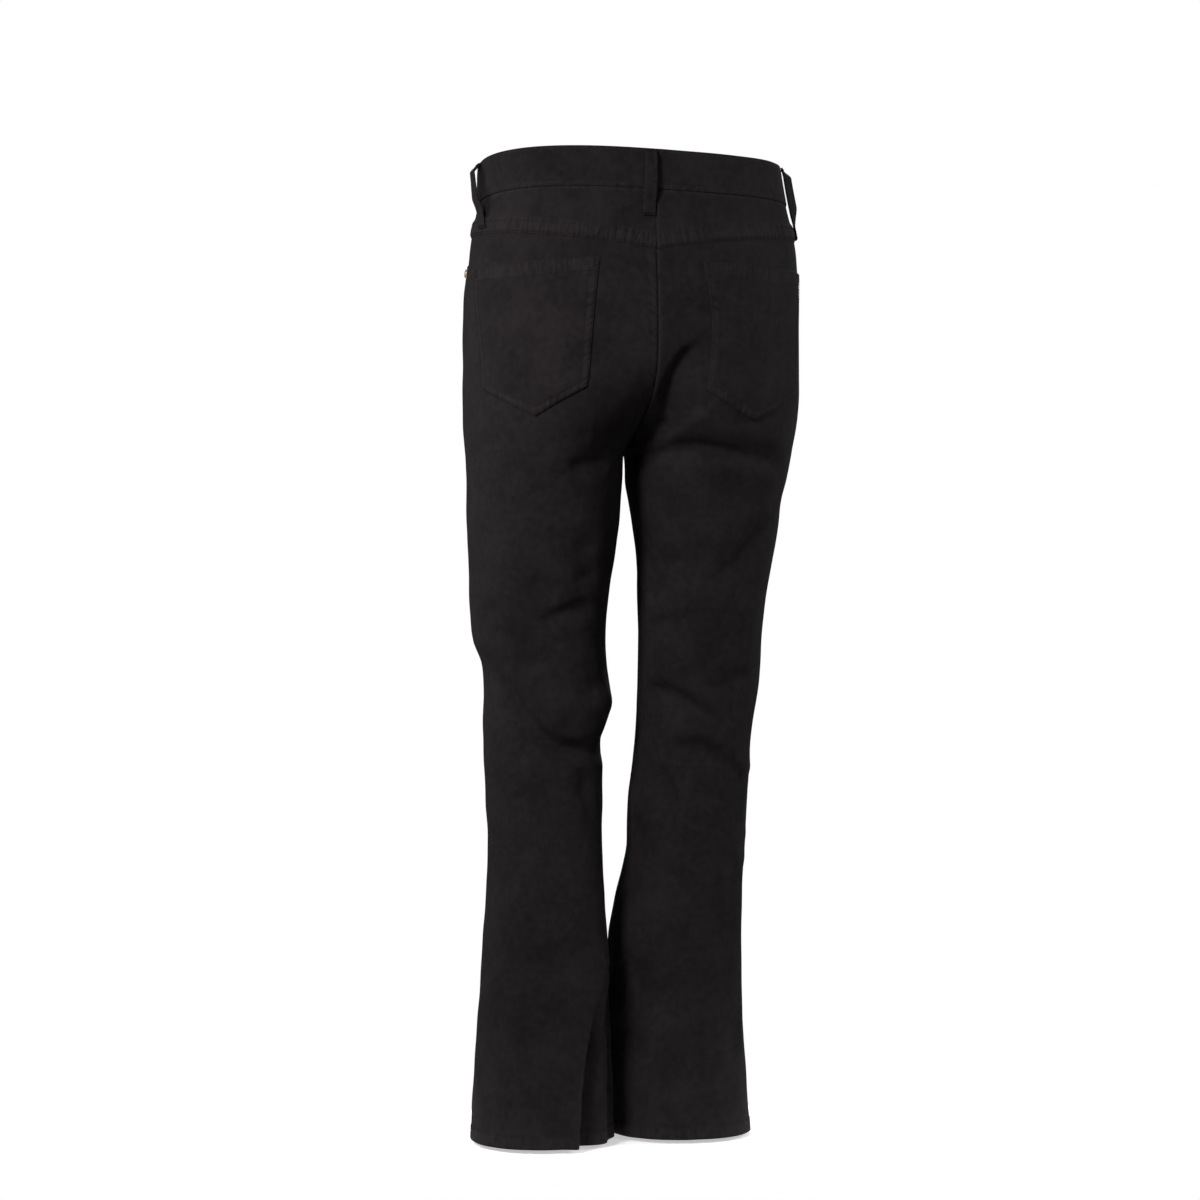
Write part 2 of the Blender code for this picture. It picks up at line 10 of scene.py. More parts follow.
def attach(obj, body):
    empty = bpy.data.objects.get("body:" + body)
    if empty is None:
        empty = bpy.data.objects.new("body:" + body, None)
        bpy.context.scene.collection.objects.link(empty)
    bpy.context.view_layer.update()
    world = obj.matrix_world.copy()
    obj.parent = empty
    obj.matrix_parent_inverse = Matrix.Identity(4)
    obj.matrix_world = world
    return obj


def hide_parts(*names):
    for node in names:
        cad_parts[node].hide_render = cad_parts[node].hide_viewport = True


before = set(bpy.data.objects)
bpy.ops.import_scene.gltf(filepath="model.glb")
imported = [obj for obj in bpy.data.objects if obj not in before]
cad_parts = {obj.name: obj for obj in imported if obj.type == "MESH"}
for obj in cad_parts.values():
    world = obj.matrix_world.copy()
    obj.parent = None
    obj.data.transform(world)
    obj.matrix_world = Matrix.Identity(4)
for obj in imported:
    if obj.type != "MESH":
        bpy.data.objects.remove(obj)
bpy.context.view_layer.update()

# Leg panels
# The four large pieces of black stretch denim, cut with the stretch across the leg. They are sewn
# together at the side seams, the inseams and the rise, and turned up in a narrow hem.

FORK_Z = -0.261
HEM_Z = -0.947
HEM_DEPTH = 0.013
HEM_LIFT = 0.0005
DENIM_WALL = 0.0016
SIDE_SEAM_TURN = -5.0
RISE_BLEND = 0.090
BAND_HEIGHT = 0.040
BAND_TOP_FRONT = 0.000
BAND_TOP_SIDE = 0.020
BAND_TOP_BACK = 0.026
BAND_ROLL = 0.003
YOKE_LAP = 0.013
YOKE_LOW_CENTRE = -0.073
YOKE_LOW_SIDE = -0.0535
YOKE_LOW_BEND = 2.4
MOUTH_TURN = -38.0
MOUTH_LOW_Z = -0.081
MOUTH_ROUNDNESS = 2.2
SEAM_VALLEY = 0.0011     # how far the cloth dips into a plain seam
VALLEY_WIDTH = 0.0013
LUMP_HEIGHT = 0.00016

Section = namedtuple("Section", "z outer inner front back square")

# Each trouser half is a tube of cloth: how far it reaches from the centre plane, where it ends in
# front and behind, and how square it is from above, for a row of heights from the waist to the hem.
LEFT_SECTIONS = [
    Section(0.034, 0.152, -0.150, -0.097, 0.099, 2.25),
    Section(0.020, 0.153, -0.151, -0.098, 0.101, 2.25),
    Section(-0.020, 0.155, -0.151, -0.102, 0.107, 2.25),
    Section(-0.047, 0.1605, -0.157, -0.106, 0.112, 2.25),
    Section(-0.073, 0.1635, -0.159, -0.108, 0.116, 2.25),
    Section(-0.113, 0.1685, -0.155, -0.110, 0.121, 2.25),
    Section(-0.153, 0.1695, -0.136, -0.110, 0.1235, 2.25),
    Section(-0.200, 0.1695, -0.068, -0.108, 0.1205, 2.20),
    Section(-0.230, 0.1688, -0.022, -0.106, 0.1130, 2.15),
    Section(-0.245, 0.1682, -0.003, -0.1045, 0.1075, 2.12),
    Section(-0.255, 0.1675, 0.0055, -0.103, 0.1035, 2.10),
    Section(-0.261, 0.167, 0.00795, -0.1022, 0.101, 2.10),
    Section(-0.268, 0.1662, 0.0108, -0.1013, 0.0988, 2.10),
    Section(-0.280, 0.165, 0.0112, -0.0998, 0.0950, 2.10),
    Section(-0.294, 0.164, 0.0115, -0.098, 0.0905, 2.10),
    Section(-0.333, 0.164, 0.0135, -0.0935, 0.083, 2.10),
    Section(-0.373, 0.162, 0.0190, -0.089, 0.076, 2.10),
    Section(-0.413, 0.161, 0.0240, -0.084, 0.069, 2.10),
    Section(-0.453, 0.157, 0.0260, -0.080, 0.061, 2.05),
    Section(-0.475, 0.150, 0.0240, -0.078, 0.057, 2.05),
    Section(-0.512, 0.147, 0.0200, -0.076, 0.054, 2.05),
    Section(-0.552, 0.147, 0.0285, -0.073, 0.052, 2.05),
    Section(-0.612, 0.145, 0.0295, -0.069, 0.054, 2.05),
    Section(-0.652, 0.143, 0.0300, -0.068, 0.057, 2.05),
    Section(-0.731, 0.1475, 0.0265, -0.069, 0.062, 2.10),
    Section(-0.811, 0.1525, 0.0188, -0.072, 0.066, 2.15),
    Section(-0.891, 0.1575, 0.0170, -0.077, 0.069, 2.20),
    Section(-0.960, 0.1605, 0.0176, -0.080, 0.071, 2.20),
]
RIGHT_SECTIONS = [
    Section(0.034, 0.148, -0.154, -0.097, 0.099, 2.25),
    Section(0.020, 0.149, -0.155, -0.098, 0.101, 2.25),
    Section(-0.020, 0.156, -0.150, -0.102, 0.107, 2.25),
    Section(-0.047, 0.162, -0.156, -0.106, 0.112, 2.25),
    Section(-0.073, 0.166, -0.157, -0.108, 0.116, 2.25),
    Section(-0.113, 0.1675, -0.154, -0.110, 0.121, 2.25),
    Section(-0.153, 0.1670, -0.136, -0.110, 0.1235, 2.25),
    Section(-0.200, 0.1670, -0.0694, -0.108, 0.1205, 2.20),
    Section(-0.230, 0.1658, -0.032, -0.106, 0.1130, 2.15),
    Section(-0.245, 0.1645, -0.0168, -0.1045, 0.1075, 2.12),
    Section(-0.255, 0.163, -0.0099, -0.103, 0.1035, 2.10),
    Section(-0.261, 0.162, -0.00765, -0.1022, 0.101, 2.10),
    Section(-0.268, 0.1609, -0.0036, -0.1015, 0.0984, 2.10),
    Section(-0.280, 0.1589, -0.0022, -0.1002, 0.0939, 2.10),
    Section(-0.292, 0.157, -0.0020, -0.099, 0.0895, 2.10),
    Section(-0.312, 0.153, 0.0015, -0.096, 0.083, 2.10),
    Section(-0.333, 0.151, 0.0055, -0.094, 0.078, 2.10),
    Section(-0.373, 0.145, 0.0102, -0.091, 0.070, 2.10),
    Section(-0.413, 0.139, 0.0118, -0.088, 0.062, 2.10),
    Section(-0.453, 0.136, 0.0132, -0.086, 0.055, 2.05),
    Section(-0.493, 0.134, 0.0125, -0.085, 0.049, 2.05),
    Section(-0.534, 0.128, 0.0110, -0.084, 0.045, 2.05),
    Section(-0.574, 0.125, 0.0080, -0.083, 0.043, 2.05),
    Section(-0.614, 0.123, 0.0025, -0.083, 0.042, 2.05),
    Section(-0.654, 0.120, 0.0020, -0.084, 0.041, 2.05),
    Section(-0.680, 0.119, -0.0020, -0.086, 0.041, 2.10),
    Section(-0.715, 0.118, -0.0100, -0.089, 0.041, 2.10),
    Section(-0.755, 0.118, -0.0165, -0.093, 0.041, 2.10),
    Section(-0.815, 0.119, -0.0180, -0.098, 0.041, 2.15),
    Section(-0.895, 0.124, -0.0165, -0.103, 0.041, 2.20),
    Section(-0.960, 0.128, -0.0145, -0.106, 0.041, 2.20),
]

Fold = namedtuple("Fold", "turn_a z_a turn_b z_b bow width depth")

# Soft troughs (depth below zero) and ridges, each from one place on the cloth to another.
# The solids have these folds too, some of them a little deeper.
LEFT_FOLDS = [
    Fold(26, -0.476, 102, -0.562, -0.006, 0.012, -0.0045),
    Fold(102, -0.561, 167, -0.556, -0.002, 0.011, -0.0045),
    Fold(126, -0.506, 160, -0.516, 0.000, 0.014, 0.0040),
    Fold(82, -0.431, 127, -0.416, 0.000, 0.010, -0.0035),
    Fold(62, -0.430, 77, -0.498, 0.000, 0.011, -0.0030),
    Fold(113, -0.352, 116, -0.394, 0.000, 0.012, -0.0025),
    Fold(94, -0.284, 126, -0.272, 0.000, 0.012, -0.0030),
    Fold(128, -0.568, 131, -0.630, 0.000, 0.012, -0.0030),
    Fold(110, -0.955, 138, -0.765, -0.006, 0.015, 0.0060),
    Fold(155, -0.955, 172, -0.790, 0.000, 0.016, -0.0100),
    Fold(-70, -0.478, -125, -0.462, 0.004, 0.013, -0.0035),
    Fold(-60, -0.560, -120, -0.545, -0.004, 0.014, -0.0030),
    Fold(-120, -0.235, -62, -0.205, 0.006, 0.012, -0.0030),
]
RIGHT_FOLDS = [
    Fold(80, -0.166, 150, -0.249, 0.002, 0.011, -0.0045),
    Fold(96, -0.218, 150, -0.256, 0.000, 0.010, 0.0035),
    Fold(150, -0.268, 47, -0.277, 0.008, 0.010, -0.0060),
    Fold(162, -0.503, 82, -0.534, 0.006, 0.011, -0.0050),
    Fold(127, -0.556, 60, -0.572, 0.005, 0.010, -0.0035),
    Fold(50, -0.325, 83, -0.388, 0.000, 0.014, -0.0030),
    Fold(146, -0.574, 116, -0.632, 0.000, 0.013, -0.0030),
    Fold(160, -0.755, 114, -0.818, 0.000, 0.014, -0.0030),
    Fold(-70, -0.492, -125, -0.478, 0.004, 0.013, -0.0035),
    Fold(-60, -0.575, -118, -0.560, -0.004, 0.014, -0.0030),
    Fold(-118, -0.240, -62, -0.212, 0.006, 0.012, -0.0030),
]

# Finer creases of the hidden front.
LEFT_CREASES = [
    Fold(-84, -0.500, -128, -0.520, 0.000, 0.008, -0.0016),
    Fold(-58, -0.452, -96, -0.440, 0.000, 0.008, -0.0012),
    Fold(-132, -0.262, -74, -0.232, 0.004, 0.007, -0.0016),
    Fold(-100, -0.640, -60, -0.665, 0.000, 0.010, -0.0012),
]
RIGHT_CREASES = [
    Fold(-88, -0.512, -130, -0.530, 0.000, 0.008, -0.0016),
    Fold(-60, -0.470, -98, -0.456, 0.000, 0.008, -0.0012),
    Fold(-130, -0.266, -72, -0.238, 0.004, 0.007, -0.0016),
]

Crease = namedtuple("Crease", "points above below depth")
BACK_VIEW = math.radians(12)

# The sharp creases of the back, drawn as they are seen from behind and a little to one side: points to
# the right and up, then the width on the upper side and on the lower side, and the depth.
LEFT_BACK = [
    Crease([(-0.0728, -0.2266), (-0.0592, -0.2382), (-0.0466, -0.2537)], 0.0050, 0.0060, 0.0022),
    Crease([(-0.0398, -0.2528), (-0.0204, -0.2547), (-0.0049, -0.2586)], 0.0100, 0.0120, -0.0030),
    Crease([
        (-0.0631, -0.2877), (-0.0495, -0.2800), (-0.0301, -0.2761), (-0.0165, -0.2741),
    ], 0.0040, 0.0080, -0.0035),
    Crease([(-0.0585, -0.3613), (-0.0322, -0.3544)], 0.0080, 0.0080, -0.0020),
    Crease([(-0.0566, -0.3964), (-0.0322, -0.3857)], 0.0060, 0.0070, -0.0025),
    Crease([
        (-0.1034, -0.3915), (-0.0888, -0.3964), (-0.0771, -0.4013), (-0.0663, -0.4042),
    ], 0.0050, 0.0080, -0.0030),
    Crease([
        (-0.0927, -0.4335), (-0.0722, -0.4257), (-0.0527, -0.4179), (-0.0361, -0.4130),
    ], 0.0030, 0.0070, -0.0034),
    Crease([(-0.1483, -0.4237), (-0.1288, -0.4198)], 0.0040, 0.0050, -0.0020),
    Crease([(-0.1395, -0.4413), (-0.1249, -0.4481), (-0.1122, -0.4549)], 0.0050, 0.0060, -0.0020),
    Crease([(-0.1015, -0.4335), (-0.1005, -0.4559), (-0.0976, -0.4900)], 0.0070, 0.0070, -0.0030),
    Crease([
        (-0.1473, -0.4627), (-0.1376, -0.4783), (-0.1268, -0.4959), (-0.1161, -0.5125), (-0.1034, -0.5281),
        (-0.0898, -0.5408), (-0.0761, -0.5505), (-0.0624, -0.5554), (-0.0468, -0.5564), (-0.0302, -0.5525),
    ], 0.0034, 0.0100, -0.0082),
    Crease([(-0.0995, -0.4930), (-0.0868, -0.4998), (-0.0771, -0.5076)], 0.0060, 0.0060, -0.0025),
    Crease([(-0.0527, -0.5096), (-0.0400, -0.4998), (-0.0254, -0.4930)], 0.0080, 0.0080, -0.0030),
    Crease([(-0.0673, -0.5369), (-0.0537, -0.5310)], 0.0060, 0.0060, -0.0015),
    Crease([(-0.0780, -0.4608), (-0.0595, -0.4705), (-0.0527, -0.4822)], 0.0100, 0.0100, 0.0015),
    Crease([(-0.0449, -0.5730), (-0.0459, -0.5925), (-0.0517, -0.6130)], 0.0090, 0.0090, -0.0030),
    Crease([(-0.1132, -0.6559), (-0.0693, -0.6735)], 0.0120, 0.0120, -0.0015),
    Crease([(-0.1278, -0.6852), (-0.1083, -0.6891)], 0.0060, 0.0060, -0.0015),
    Crease([(-0.1180, -0.7096), (-0.0673, -0.7340)], 0.0140, 0.0140, -0.0015),
    Crease([
        (-0.0245, -0.7796), (-0.0304, -0.8091), (-0.0382, -0.8512), (-0.0431, -0.8973), (-0.0471, -0.9512),
        (-0.0500, -1.0296),
    ], 0.0120, 0.0035, -0.0200),
    Crease([
        (-0.0265, -0.7551), (-0.0353, -0.7973), (-0.0441, -0.8434), (-0.0500, -0.8924), (-0.0539, -0.9512),
        (-0.0569, -1.0296),
    ], 0.0025, 0.0060, 0.0045),
]
RIGHT_BACK = [
    Crease([
        (0.0106, -0.2522), (0.0183, -0.2388), (0.0260, -0.2147), (0.0366, -0.1974), (0.0462, -0.1781),
        (0.0568, -0.1695), (0.0751, -0.1598),
    ], 0.0026, 0.0200, -0.0085),
    Crease([(0.0096, -0.2599), (0.0135, -0.2426), (0.0202, -0.2272)], 0.0060, 0.0110, -0.0060),
    Crease([
        (0.0202, -0.2561), (0.0356, -0.2445), (0.0568, -0.2301), (0.0770, -0.2185),
    ], 0.0200, 0.0045, -0.0095),
    Crease([
        (0.0232, -0.2632), (0.0377, -0.2526), (0.0589, -0.2371), (0.0783, -0.2246),
    ], 0.0050, 0.0080, 0.0028),
    Crease([
        (0.0165, -0.2673), (0.0301, -0.2625), (0.0456, -0.2596), (0.0612, -0.2596), (0.0786, -0.2615),
        (0.0961, -0.2654), (0.1146, -0.2698), (0.1330, -0.2751),
    ], 0.0035, 0.0080, -0.0060),
    Crease([
        (0.0716, -0.4061), (0.0833, -0.3914), (0.0961, -0.3826), (0.1118, -0.3610), (0.1245, -0.3414),
        (0.1373, -0.3218),
    ], 0.0035, 0.0100, -0.0030),
    Crease([(0.0296, -0.3785), (0.0532, -0.3706)], 0.0050, 0.0050, -0.0025),
    Crease([(0.0148, -0.4090), (0.0365, -0.3972)], 0.0070, 0.0070, -0.0025),
    Crease([(0.0128, -0.4386), (0.0365, -0.4307), (0.0671, -0.4238)], 0.0035, 0.0060, -0.0030),
    Crease([(0.0316, -0.4534), (0.0503, -0.4455)], 0.0060, 0.0060, -0.0020),
    Crease([(0.1192, -0.4120), (0.1143, -0.4465), (0.1123, -0.4790)], 0.0070, 0.0025, 0.0024),
    Crease([
        (0.0059, -0.4999), (0.0287, -0.4990), (0.0455, -0.5059), (0.0593, -0.5148), (0.0731, -0.5237),
        (0.0860, -0.5306),
    ], 0.0040, 0.0100, -0.0045),
    Crease([(0.0563, -0.4940), (0.0721, -0.5078), (0.0879, -0.5207)], 0.0040, 0.0040, 0.0018),
    Crease([
        (0.0653, -0.4962), (0.0832, -0.4981), (0.1030, -0.4912), (0.1198, -0.4793),
    ], 0.0050, 0.0060, -0.0030),
    Crease([
        (0.0386, -0.5575), (0.0634, -0.5536), (0.0792, -0.5575), (0.0950, -0.5714),
    ], 0.0035, 0.0065, -0.0046),
    Crease([(0.0287, -0.5724), (0.0366, -0.5981), (0.0426, -0.6219)], 0.0040, 0.0120, -0.0040),
    Crease([(0.0584, -0.6001), (0.0762, -0.6051), (0.0921, -0.6120)], 0.0060, 0.0070, -0.0025),
    Crease([(0.0952, -0.5549), (0.1052, -0.5707), (0.1141, -0.5906)], 0.0070, 0.0025, 0.0036),
    Crease([(0.1091, -0.6342), (0.0992, -0.6560), (0.1071, -0.6838)], 0.0070, 0.0025, 0.0030),
    Crease([(-0.0168, -0.7628), (0.0040, -0.7974), (0.0356, -0.8132)], 0.0100, 0.0100, -0.0032),
    Crease([(-0.0158, -0.8132), (0.0208, -0.8260)], 0.0100, 0.0100, 0.0020),
    Crease([(-0.0217, -0.8349), (0.0148, -0.8497), (0.0474, -0.8537)], 0.0060, 0.0090, -0.0032),
]


def mix(a, b, t):
    return a + (b - a) * t


def dip(distance, width, at=0.0):
    """A soft dent: 1 at the given distance from an edge, and next to nothing two widths from there."""
    return np.exp(-(((distance - at) / width) ** 2))


def smooth(t):
    t = np.clip(t, 0.0, 1.0)
    return t * t * (3 - 2 * t)


def seam_x(z):
    """Where the centre seam runs. Just above the fork it leans towards the wearer's left leg."""
    return 0.0078 * smooth((-0.185 - z) / 0.076)


def fold_height(fold, turn, z, radius):
    """How far one fold lifts the cloth at each place."""
    around = np.radians((turn - fold.turn_a + 180) % 360 - 180) * radius
    above = z - fold.z_a
    run_around = math.radians(fold.turn_b - fold.turn_a) * radius
    run_above = fold.z_b - fold.z_a
    length = np.hypot(run_around, run_above)
    share = (around * run_around + above * run_above) / length**2
    near = np.clip(share, 0.0, 1.0)
    past = (share - near) * length / fold.width
    off = (above * run_around - around * run_above) / length
    off = off - np.sign(run_around) * fold.bow * 4 * near * (1 - near)
    spread = (off / fold.width) ** 2
    taper = np.exp(-past * past) * (0.35 + 0.65 * np.sin(np.pi * near) ** 0.5)
    taper = np.where((share > -0.6) & (share < 1.6), taper, 0.0)
    return fold.depth * taper * (1 - 0.4 * spread) * np.exp(-0.5 * spread)


def crease_height(crease, across, z):
    """How far one crease of the back lifts the cloth. It follows a curve smoothed from its points."""
    line = np.array(crease.points)
    reach = 3.5 * max(crease.above, crease.below)
    low, high = line.min(axis=0) - reach, line.max(axis=0) + reach
    near = (across > low[0]) & (across < high[0]) & (z > low[1]) & (z < high[1])
    height = np.zeros(across.shape)
    across, z = across[near], z[near]
    for _ in range(2):
        cut = [mix(line[:-1], line[1:], 0.25), mix(line[:-1], line[1:], 0.75)]
        line = np.concatenate([line[:1], np.stack(cut, axis=1).reshape(-1, 2), line[-1:]])
    steps = np.diff(line, axis=0)
    lengths = np.hypot(*steps.T)
    starts = np.cumsum(lengths) - lengths
    nearest = np.full(across.shape, 1.0)
    width = np.ones(across.shape)
    share = np.zeros(across.shape)
    for point, step, length, start in zip(line, steps, lengths, starts):
        off_x, off_z = across - point[0], z - point[1]
        along = np.clip((off_x * step[0] + off_z * step[1]) / length**2, 0.0, 1.0)
        distance = np.hypot(off_x - along * step[0], off_z - along * step[1])
        closer = distance < nearest
        nearest = np.where(closer, distance, nearest)
        side = off_z * step[0] - off_x * step[1]
        width = np.where(closer, np.where(side > 0, crease.above, crease.below), width)
        share = np.where(closer, (start + along * length) / lengths.sum(), share)
    ends = 0.1 + 0.9 * smooth(share / 0.25) * smooth((1 - share) / 0.25)
    height[near] = crease.depth * ends * np.exp(-0.5 * (nearest / width) ** 2)
    return height


def lumps(turn, z, seed):
    """Small unevenness of worn cloth: a few long waves that cross each other."""
    total = 0.0
    for k in range(5):
        lean = math.sin(seed + 2.1 * k)
        around = turn * (0.09 + 0.035 * k) * (1 + 0.4 * lean)
        total = total + np.sin(around + z * (60 + 23 * k) * lean + k * seed)
    return total * LUMP_HEIGHT


class Half:
    """One trouser half: its sections, folds and creases, and +1 for the wearer's left or -1 for the right."""

    def __init__(self, name, sign, sections, folds, creases):
        self.name = name
        self.sign = sign
        self.folds = folds
        self.creases = creases
        table = np.array(sorted(sections))
        self.heights = table[:, 0]
        self.columns = table[:, 1:]
        rise = np.diff(self.columns, axis=0) / np.diff(self.heights)[:, None]
        down, up = rise[:-1], rise[1:]
        total = np.where(down * up > 0, down + up, 1.0)
        self.slopes = np.zeros_like(self.columns)
        self.slopes[1:-1] = np.where(down * up > 0, 2 * down * up / total, 0.0)

    def section(self, z):
        """outer, inner, front, back and square at each height, on a smooth curve through the rows."""
        z = np.asarray(z, float)
        i = np.clip(np.searchsorted(self.heights, z, side="right") - 1, 0, len(self.heights) - 2)
        span = self.heights[i + 1] - self.heights[i]
        t = np.clip((z - self.heights[i]) / span, 0.0, 1.0)[..., None]
        span = span[..., None]
        value = (1 + 2 * t) * (1 - t) ** 2 * self.columns[i] + t * t * (3 - 2 * t) * self.columns[i + 1]
        value += t * (1 - t) ** 2 * span * self.slopes[i] + t * t * (t - 1) * span * self.slopes[i + 1]
        return np.moveaxis(value, -1, 0)

    def turn_at(self, distance, z):
        """The turn on the seat side of the points at this distance from the centre seam."""
        outer, inner, front, back, square = self.section(z)
        reach = (outer - inner) / 2
        share = (distance + self.sign * seam_x(z) - (outer + inner) / 2) / reach
        rise = (1 - np.minimum(np.abs(share), 1) ** square) ** (1 / square)
        below = 180 - np.degrees(distance / ((back - front) / 2))
        return np.where((share <= -1) | (z <= FORK_Z), below, np.degrees(np.arctan2(rise, share)))

    def skin(self, turn, z):
        """The outside of the cloth, folds included."""
        outer, inner, front, back, square = self.section(z)
        angle = np.radians(turn)
        across, along = np.cos(angle), np.sin(angle)
        size = (np.abs(across) ** square + np.abs(along) ** square) ** (-1 / square)
        reach, depth = (outer - inner) / 2, (back - front) / 2
        x = (outer + inner) / 2 + reach * size * across
        y = (back + front) / 2 + depth * size * along
        lift = lumps(turn, z, 1.7 + self.sign)
        for fold in self.folds:
            lift = lift + fold_height(fold, turn, z, (reach + depth) / 2)
        steep = np.hypot(across / reach, along / depth)
        out_x, out_y = across / reach / steep, along / depth / steep
        faces_back = self.sign * out_x * math.sin(BACK_VIEW) + out_y * math.cos(BACK_VIEW)
        seen_across = y * math.sin(BACK_VIEW) - self.sign * x * math.cos(BACK_VIEW)
        seen_across, height = np.broadcast_arrays(seen_across, z)
        shown = smooth((faces_back + 0.30) / 0.45)
        for crease in self.creases:
            lift = lift + shown * crease_height(crease, seen_across, height)
        lift = np.where(z > FORK_Z - 0.02, lift * smooth((x - self.sign * seam_x(z)) / 0.010), lift)
        lift = lift + HEM_LIFT * smooth((HEM_Z + HEM_DEPTH + 0.0004 - z) / 0.0008)
        x = x + lift * out_x
        y = y + lift * out_y
        return np.stack([self.sign * x, y, z + 0 * x], axis=-1)

    def lifted(self, turn, z, lift):
        """Points this far outside the skin, or inside it where lift is below zero."""
        round_it = self.skin(turn + 0.4, z) - self.skin(turn - 0.4, z)
        up = self.skin(turn, z + 0.0008) - self.skin(turn, z - 0.0008)
        out = np.cross(round_it, up) * self.sign
        out /= np.linalg.norm(out, axis=-1, keepdims=True)
        return self.skin(turn, z) + out * np.asarray(lift)[..., None]


LEFT = Half("left", 1, LEFT_SECTIONS, LEFT_FOLDS + LEFT_CREASES, LEFT_BACK)
RIGHT = Half("right", -1, RIGHT_SECTIONS, RIGHT_FOLDS + RIGHT_CREASES, RIGHT_BACK)


def band_top(degrees):
    """Height of the waistband's top edge, highest at the centre back."""
    tilt = (BAND_TOP_FRONT - BAND_TOP_BACK) / 2
    middle = (BAND_TOP_FRONT + BAND_TOP_BACK) / 2
    bend = (middle - BAND_TOP_SIDE) / 2
    angle = np.radians(degrees)
    roll = -BAND_ROLL * np.sin(2 * angle) * (1 - np.cos(angle)) / 2
    return middle - bend + tilt * np.cos(angle) + bend * np.cos(2 * angle) + roll


def under_band(half, turn):
    """Height at which a panel ends, just inside the waistband's lower edge."""
    return band_top(half.sign * (90 + turn)) - BAND_HEIGHT + 0.0008


def yoke_low(share):
    """Height of the yoke's lower edge. share is 0 at the side seam and 1 at the centre."""
    return mix(YOKE_LOW_SIDE, YOKE_LOW_CENTRE, share**YOKE_LOW_BEND)


def mouth_height(half, turn):
    """Height of the front panel's top edge: the pocket's mouth, then the waistband."""
    share = (turn - SIDE_SEAM_TURN) / (MOUTH_TURN - SIDE_SEAM_TURN)
    drop = (1 - np.clip(share, 0.0, 1.0) ** MOUTH_ROUNDNESS) ** (1 / MOUTH_ROUNDNESS)
    return mix(under_band(half, turn), MOUTH_LOW_Z, drop)


def placed(mesh):
    """A smooth object of the mesh, in the scene."""
    mesh.polygons.foreach_set("use_smooth", np.ones(len(mesh.polygons), dtype=bool))
    piece = bpy.data.objects.new(mesh.name, mesh)
    bpy.context.scene.collection.objects.link(piece)
    return piece


def mesh_of(bm, name):
    """A mesh of the faces in bm, which ends with it."""
    mesh = bpy.data.meshes.new(name)
    bm.to_mesh(mesh)
    bm.free()
    return mesh


def thicken(piece, wall, roundness=0.0):
    """Gives a sheet its wall, inwards, and rounds its cut edges off."""
    solid = piece.modifiers.new("wall", "SOLIDIFY")
    solid.thickness = wall
    solid.offset = -1
    if roundness:
        soften = piece.modifiers.new("soft_edges", "BEVEL")
        soften.width = roundness
        soften.segments = 2
        soften.limit_method = "ANGLE"
        soften.angle_limit = math.radians(50)


def cloth(name, columns, rows, place, wall, relief=None, mirrored=False, roundness=0.0):
    """A sheet of cloth from a grid. place(column, row, lift) gives its outside.

    relief(left, right, low, high) gives the lift from the distances to the four cut edges, and two UV
    maps keep those distances for the material, in metres.
    """
    wide, tall = len(columns) - 1, len(rows) - 1
    bm = bmesh.new()
    bmesh.ops.create_grid(bm, x_segments=wide, y_segments=tall, size=0.5)
    if mirrored:
        bmesh.ops.reverse_faces(bm, faces=bm.faces)
    mesh = mesh_of(bm, name)
    flat = np.empty(len(mesh.vertices) * 3)
    mesh.vertices.foreach_get("co", flat)
    i = np.rint((flat[0::3] + 0.5) * wide).astype(int)
    j = np.rint((flat[1::3] + 0.5) * tall).astype(int)
    column, row = np.meshgrid(columns, rows)
    points = place(column, row, np.zeros_like(column))
    step_across = np.linalg.norm(np.diff(points, axis=1), axis=-1)
    step_along = np.linalg.norm(np.diff(points, axis=0), axis=-1)
    left = np.pad(np.cumsum(step_across, axis=1), ((0, 0), (1, 0)))
    low = np.pad(np.cumsum(step_along, axis=0), ((1, 0), (0, 0)))
    right = left[:, -1:] - left
    high = low[-1:, :] - low
    if relief:
        points = place(column, row, relief(left, right, low, high))
    mesh.vertices.foreach_set("co", points[j, i].ravel())
    corner = np.empty(len(mesh.loops), dtype=np.int32)
    mesh.loops.foreach_get("vertex_index", corner)
    for layer_name, u, v in (("cut", left, low), ("far", right, high)):
        layer = mesh.uv_layers.new(name=layer_name)
        layer.data.foreach_set("uv", np.stack([u[j, i][corner], v[j, i][corner]], axis=-1).ravel())
    piece = placed(mesh)
    mesh.update()
    thicken(piece, wall, roundness)
    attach(piece, "root")
    return piece


def spaced(start, end, step):
    count = max(int(round(abs(end - start) / step)), 1)
    return list(np.linspace(start, end, count + 1))


def with_edges(shares, edge):
    """Adds lines close to both ends, where the cloth turns into its seams."""
    close = [edge * k for k in (0.2, 0.45, 0.75, 1.2)]
    inner = [share for share in shares if 1.6 * edge < share < 1 - 1.6 * edge]
    return [0.0] + close + inner + [1 - c for c in reversed(close)] + [1.0]


class Value:
    """A number that changes over a surface. Sums and products on it add Math nodes."""

    def __init__(self, look, socket):
        self.look = look
        self.socket = socket

    def maths(self, operation, first, second=0.0):
        return self.look.node("ShaderNodeMath", {"operation": operation}, {0: first, 1: second})

    def __add__(self, other):
        return self.maths("ADD", self, other)

    def __sub__(self, other):
        return self.maths("SUBTRACT", self, other)

    def __rsub__(self, other):
        return self.maths("SUBTRACT", other, self)

    def __mul__(self, other):
        return self.maths("MULTIPLY", self, other)

    def __truediv__(self, other):
        return self.maths("DIVIDE", self, other)

    __radd__ = __add__
    __rmul__ = __mul__

    def sine(self):
        return self.maths("SINE", self)


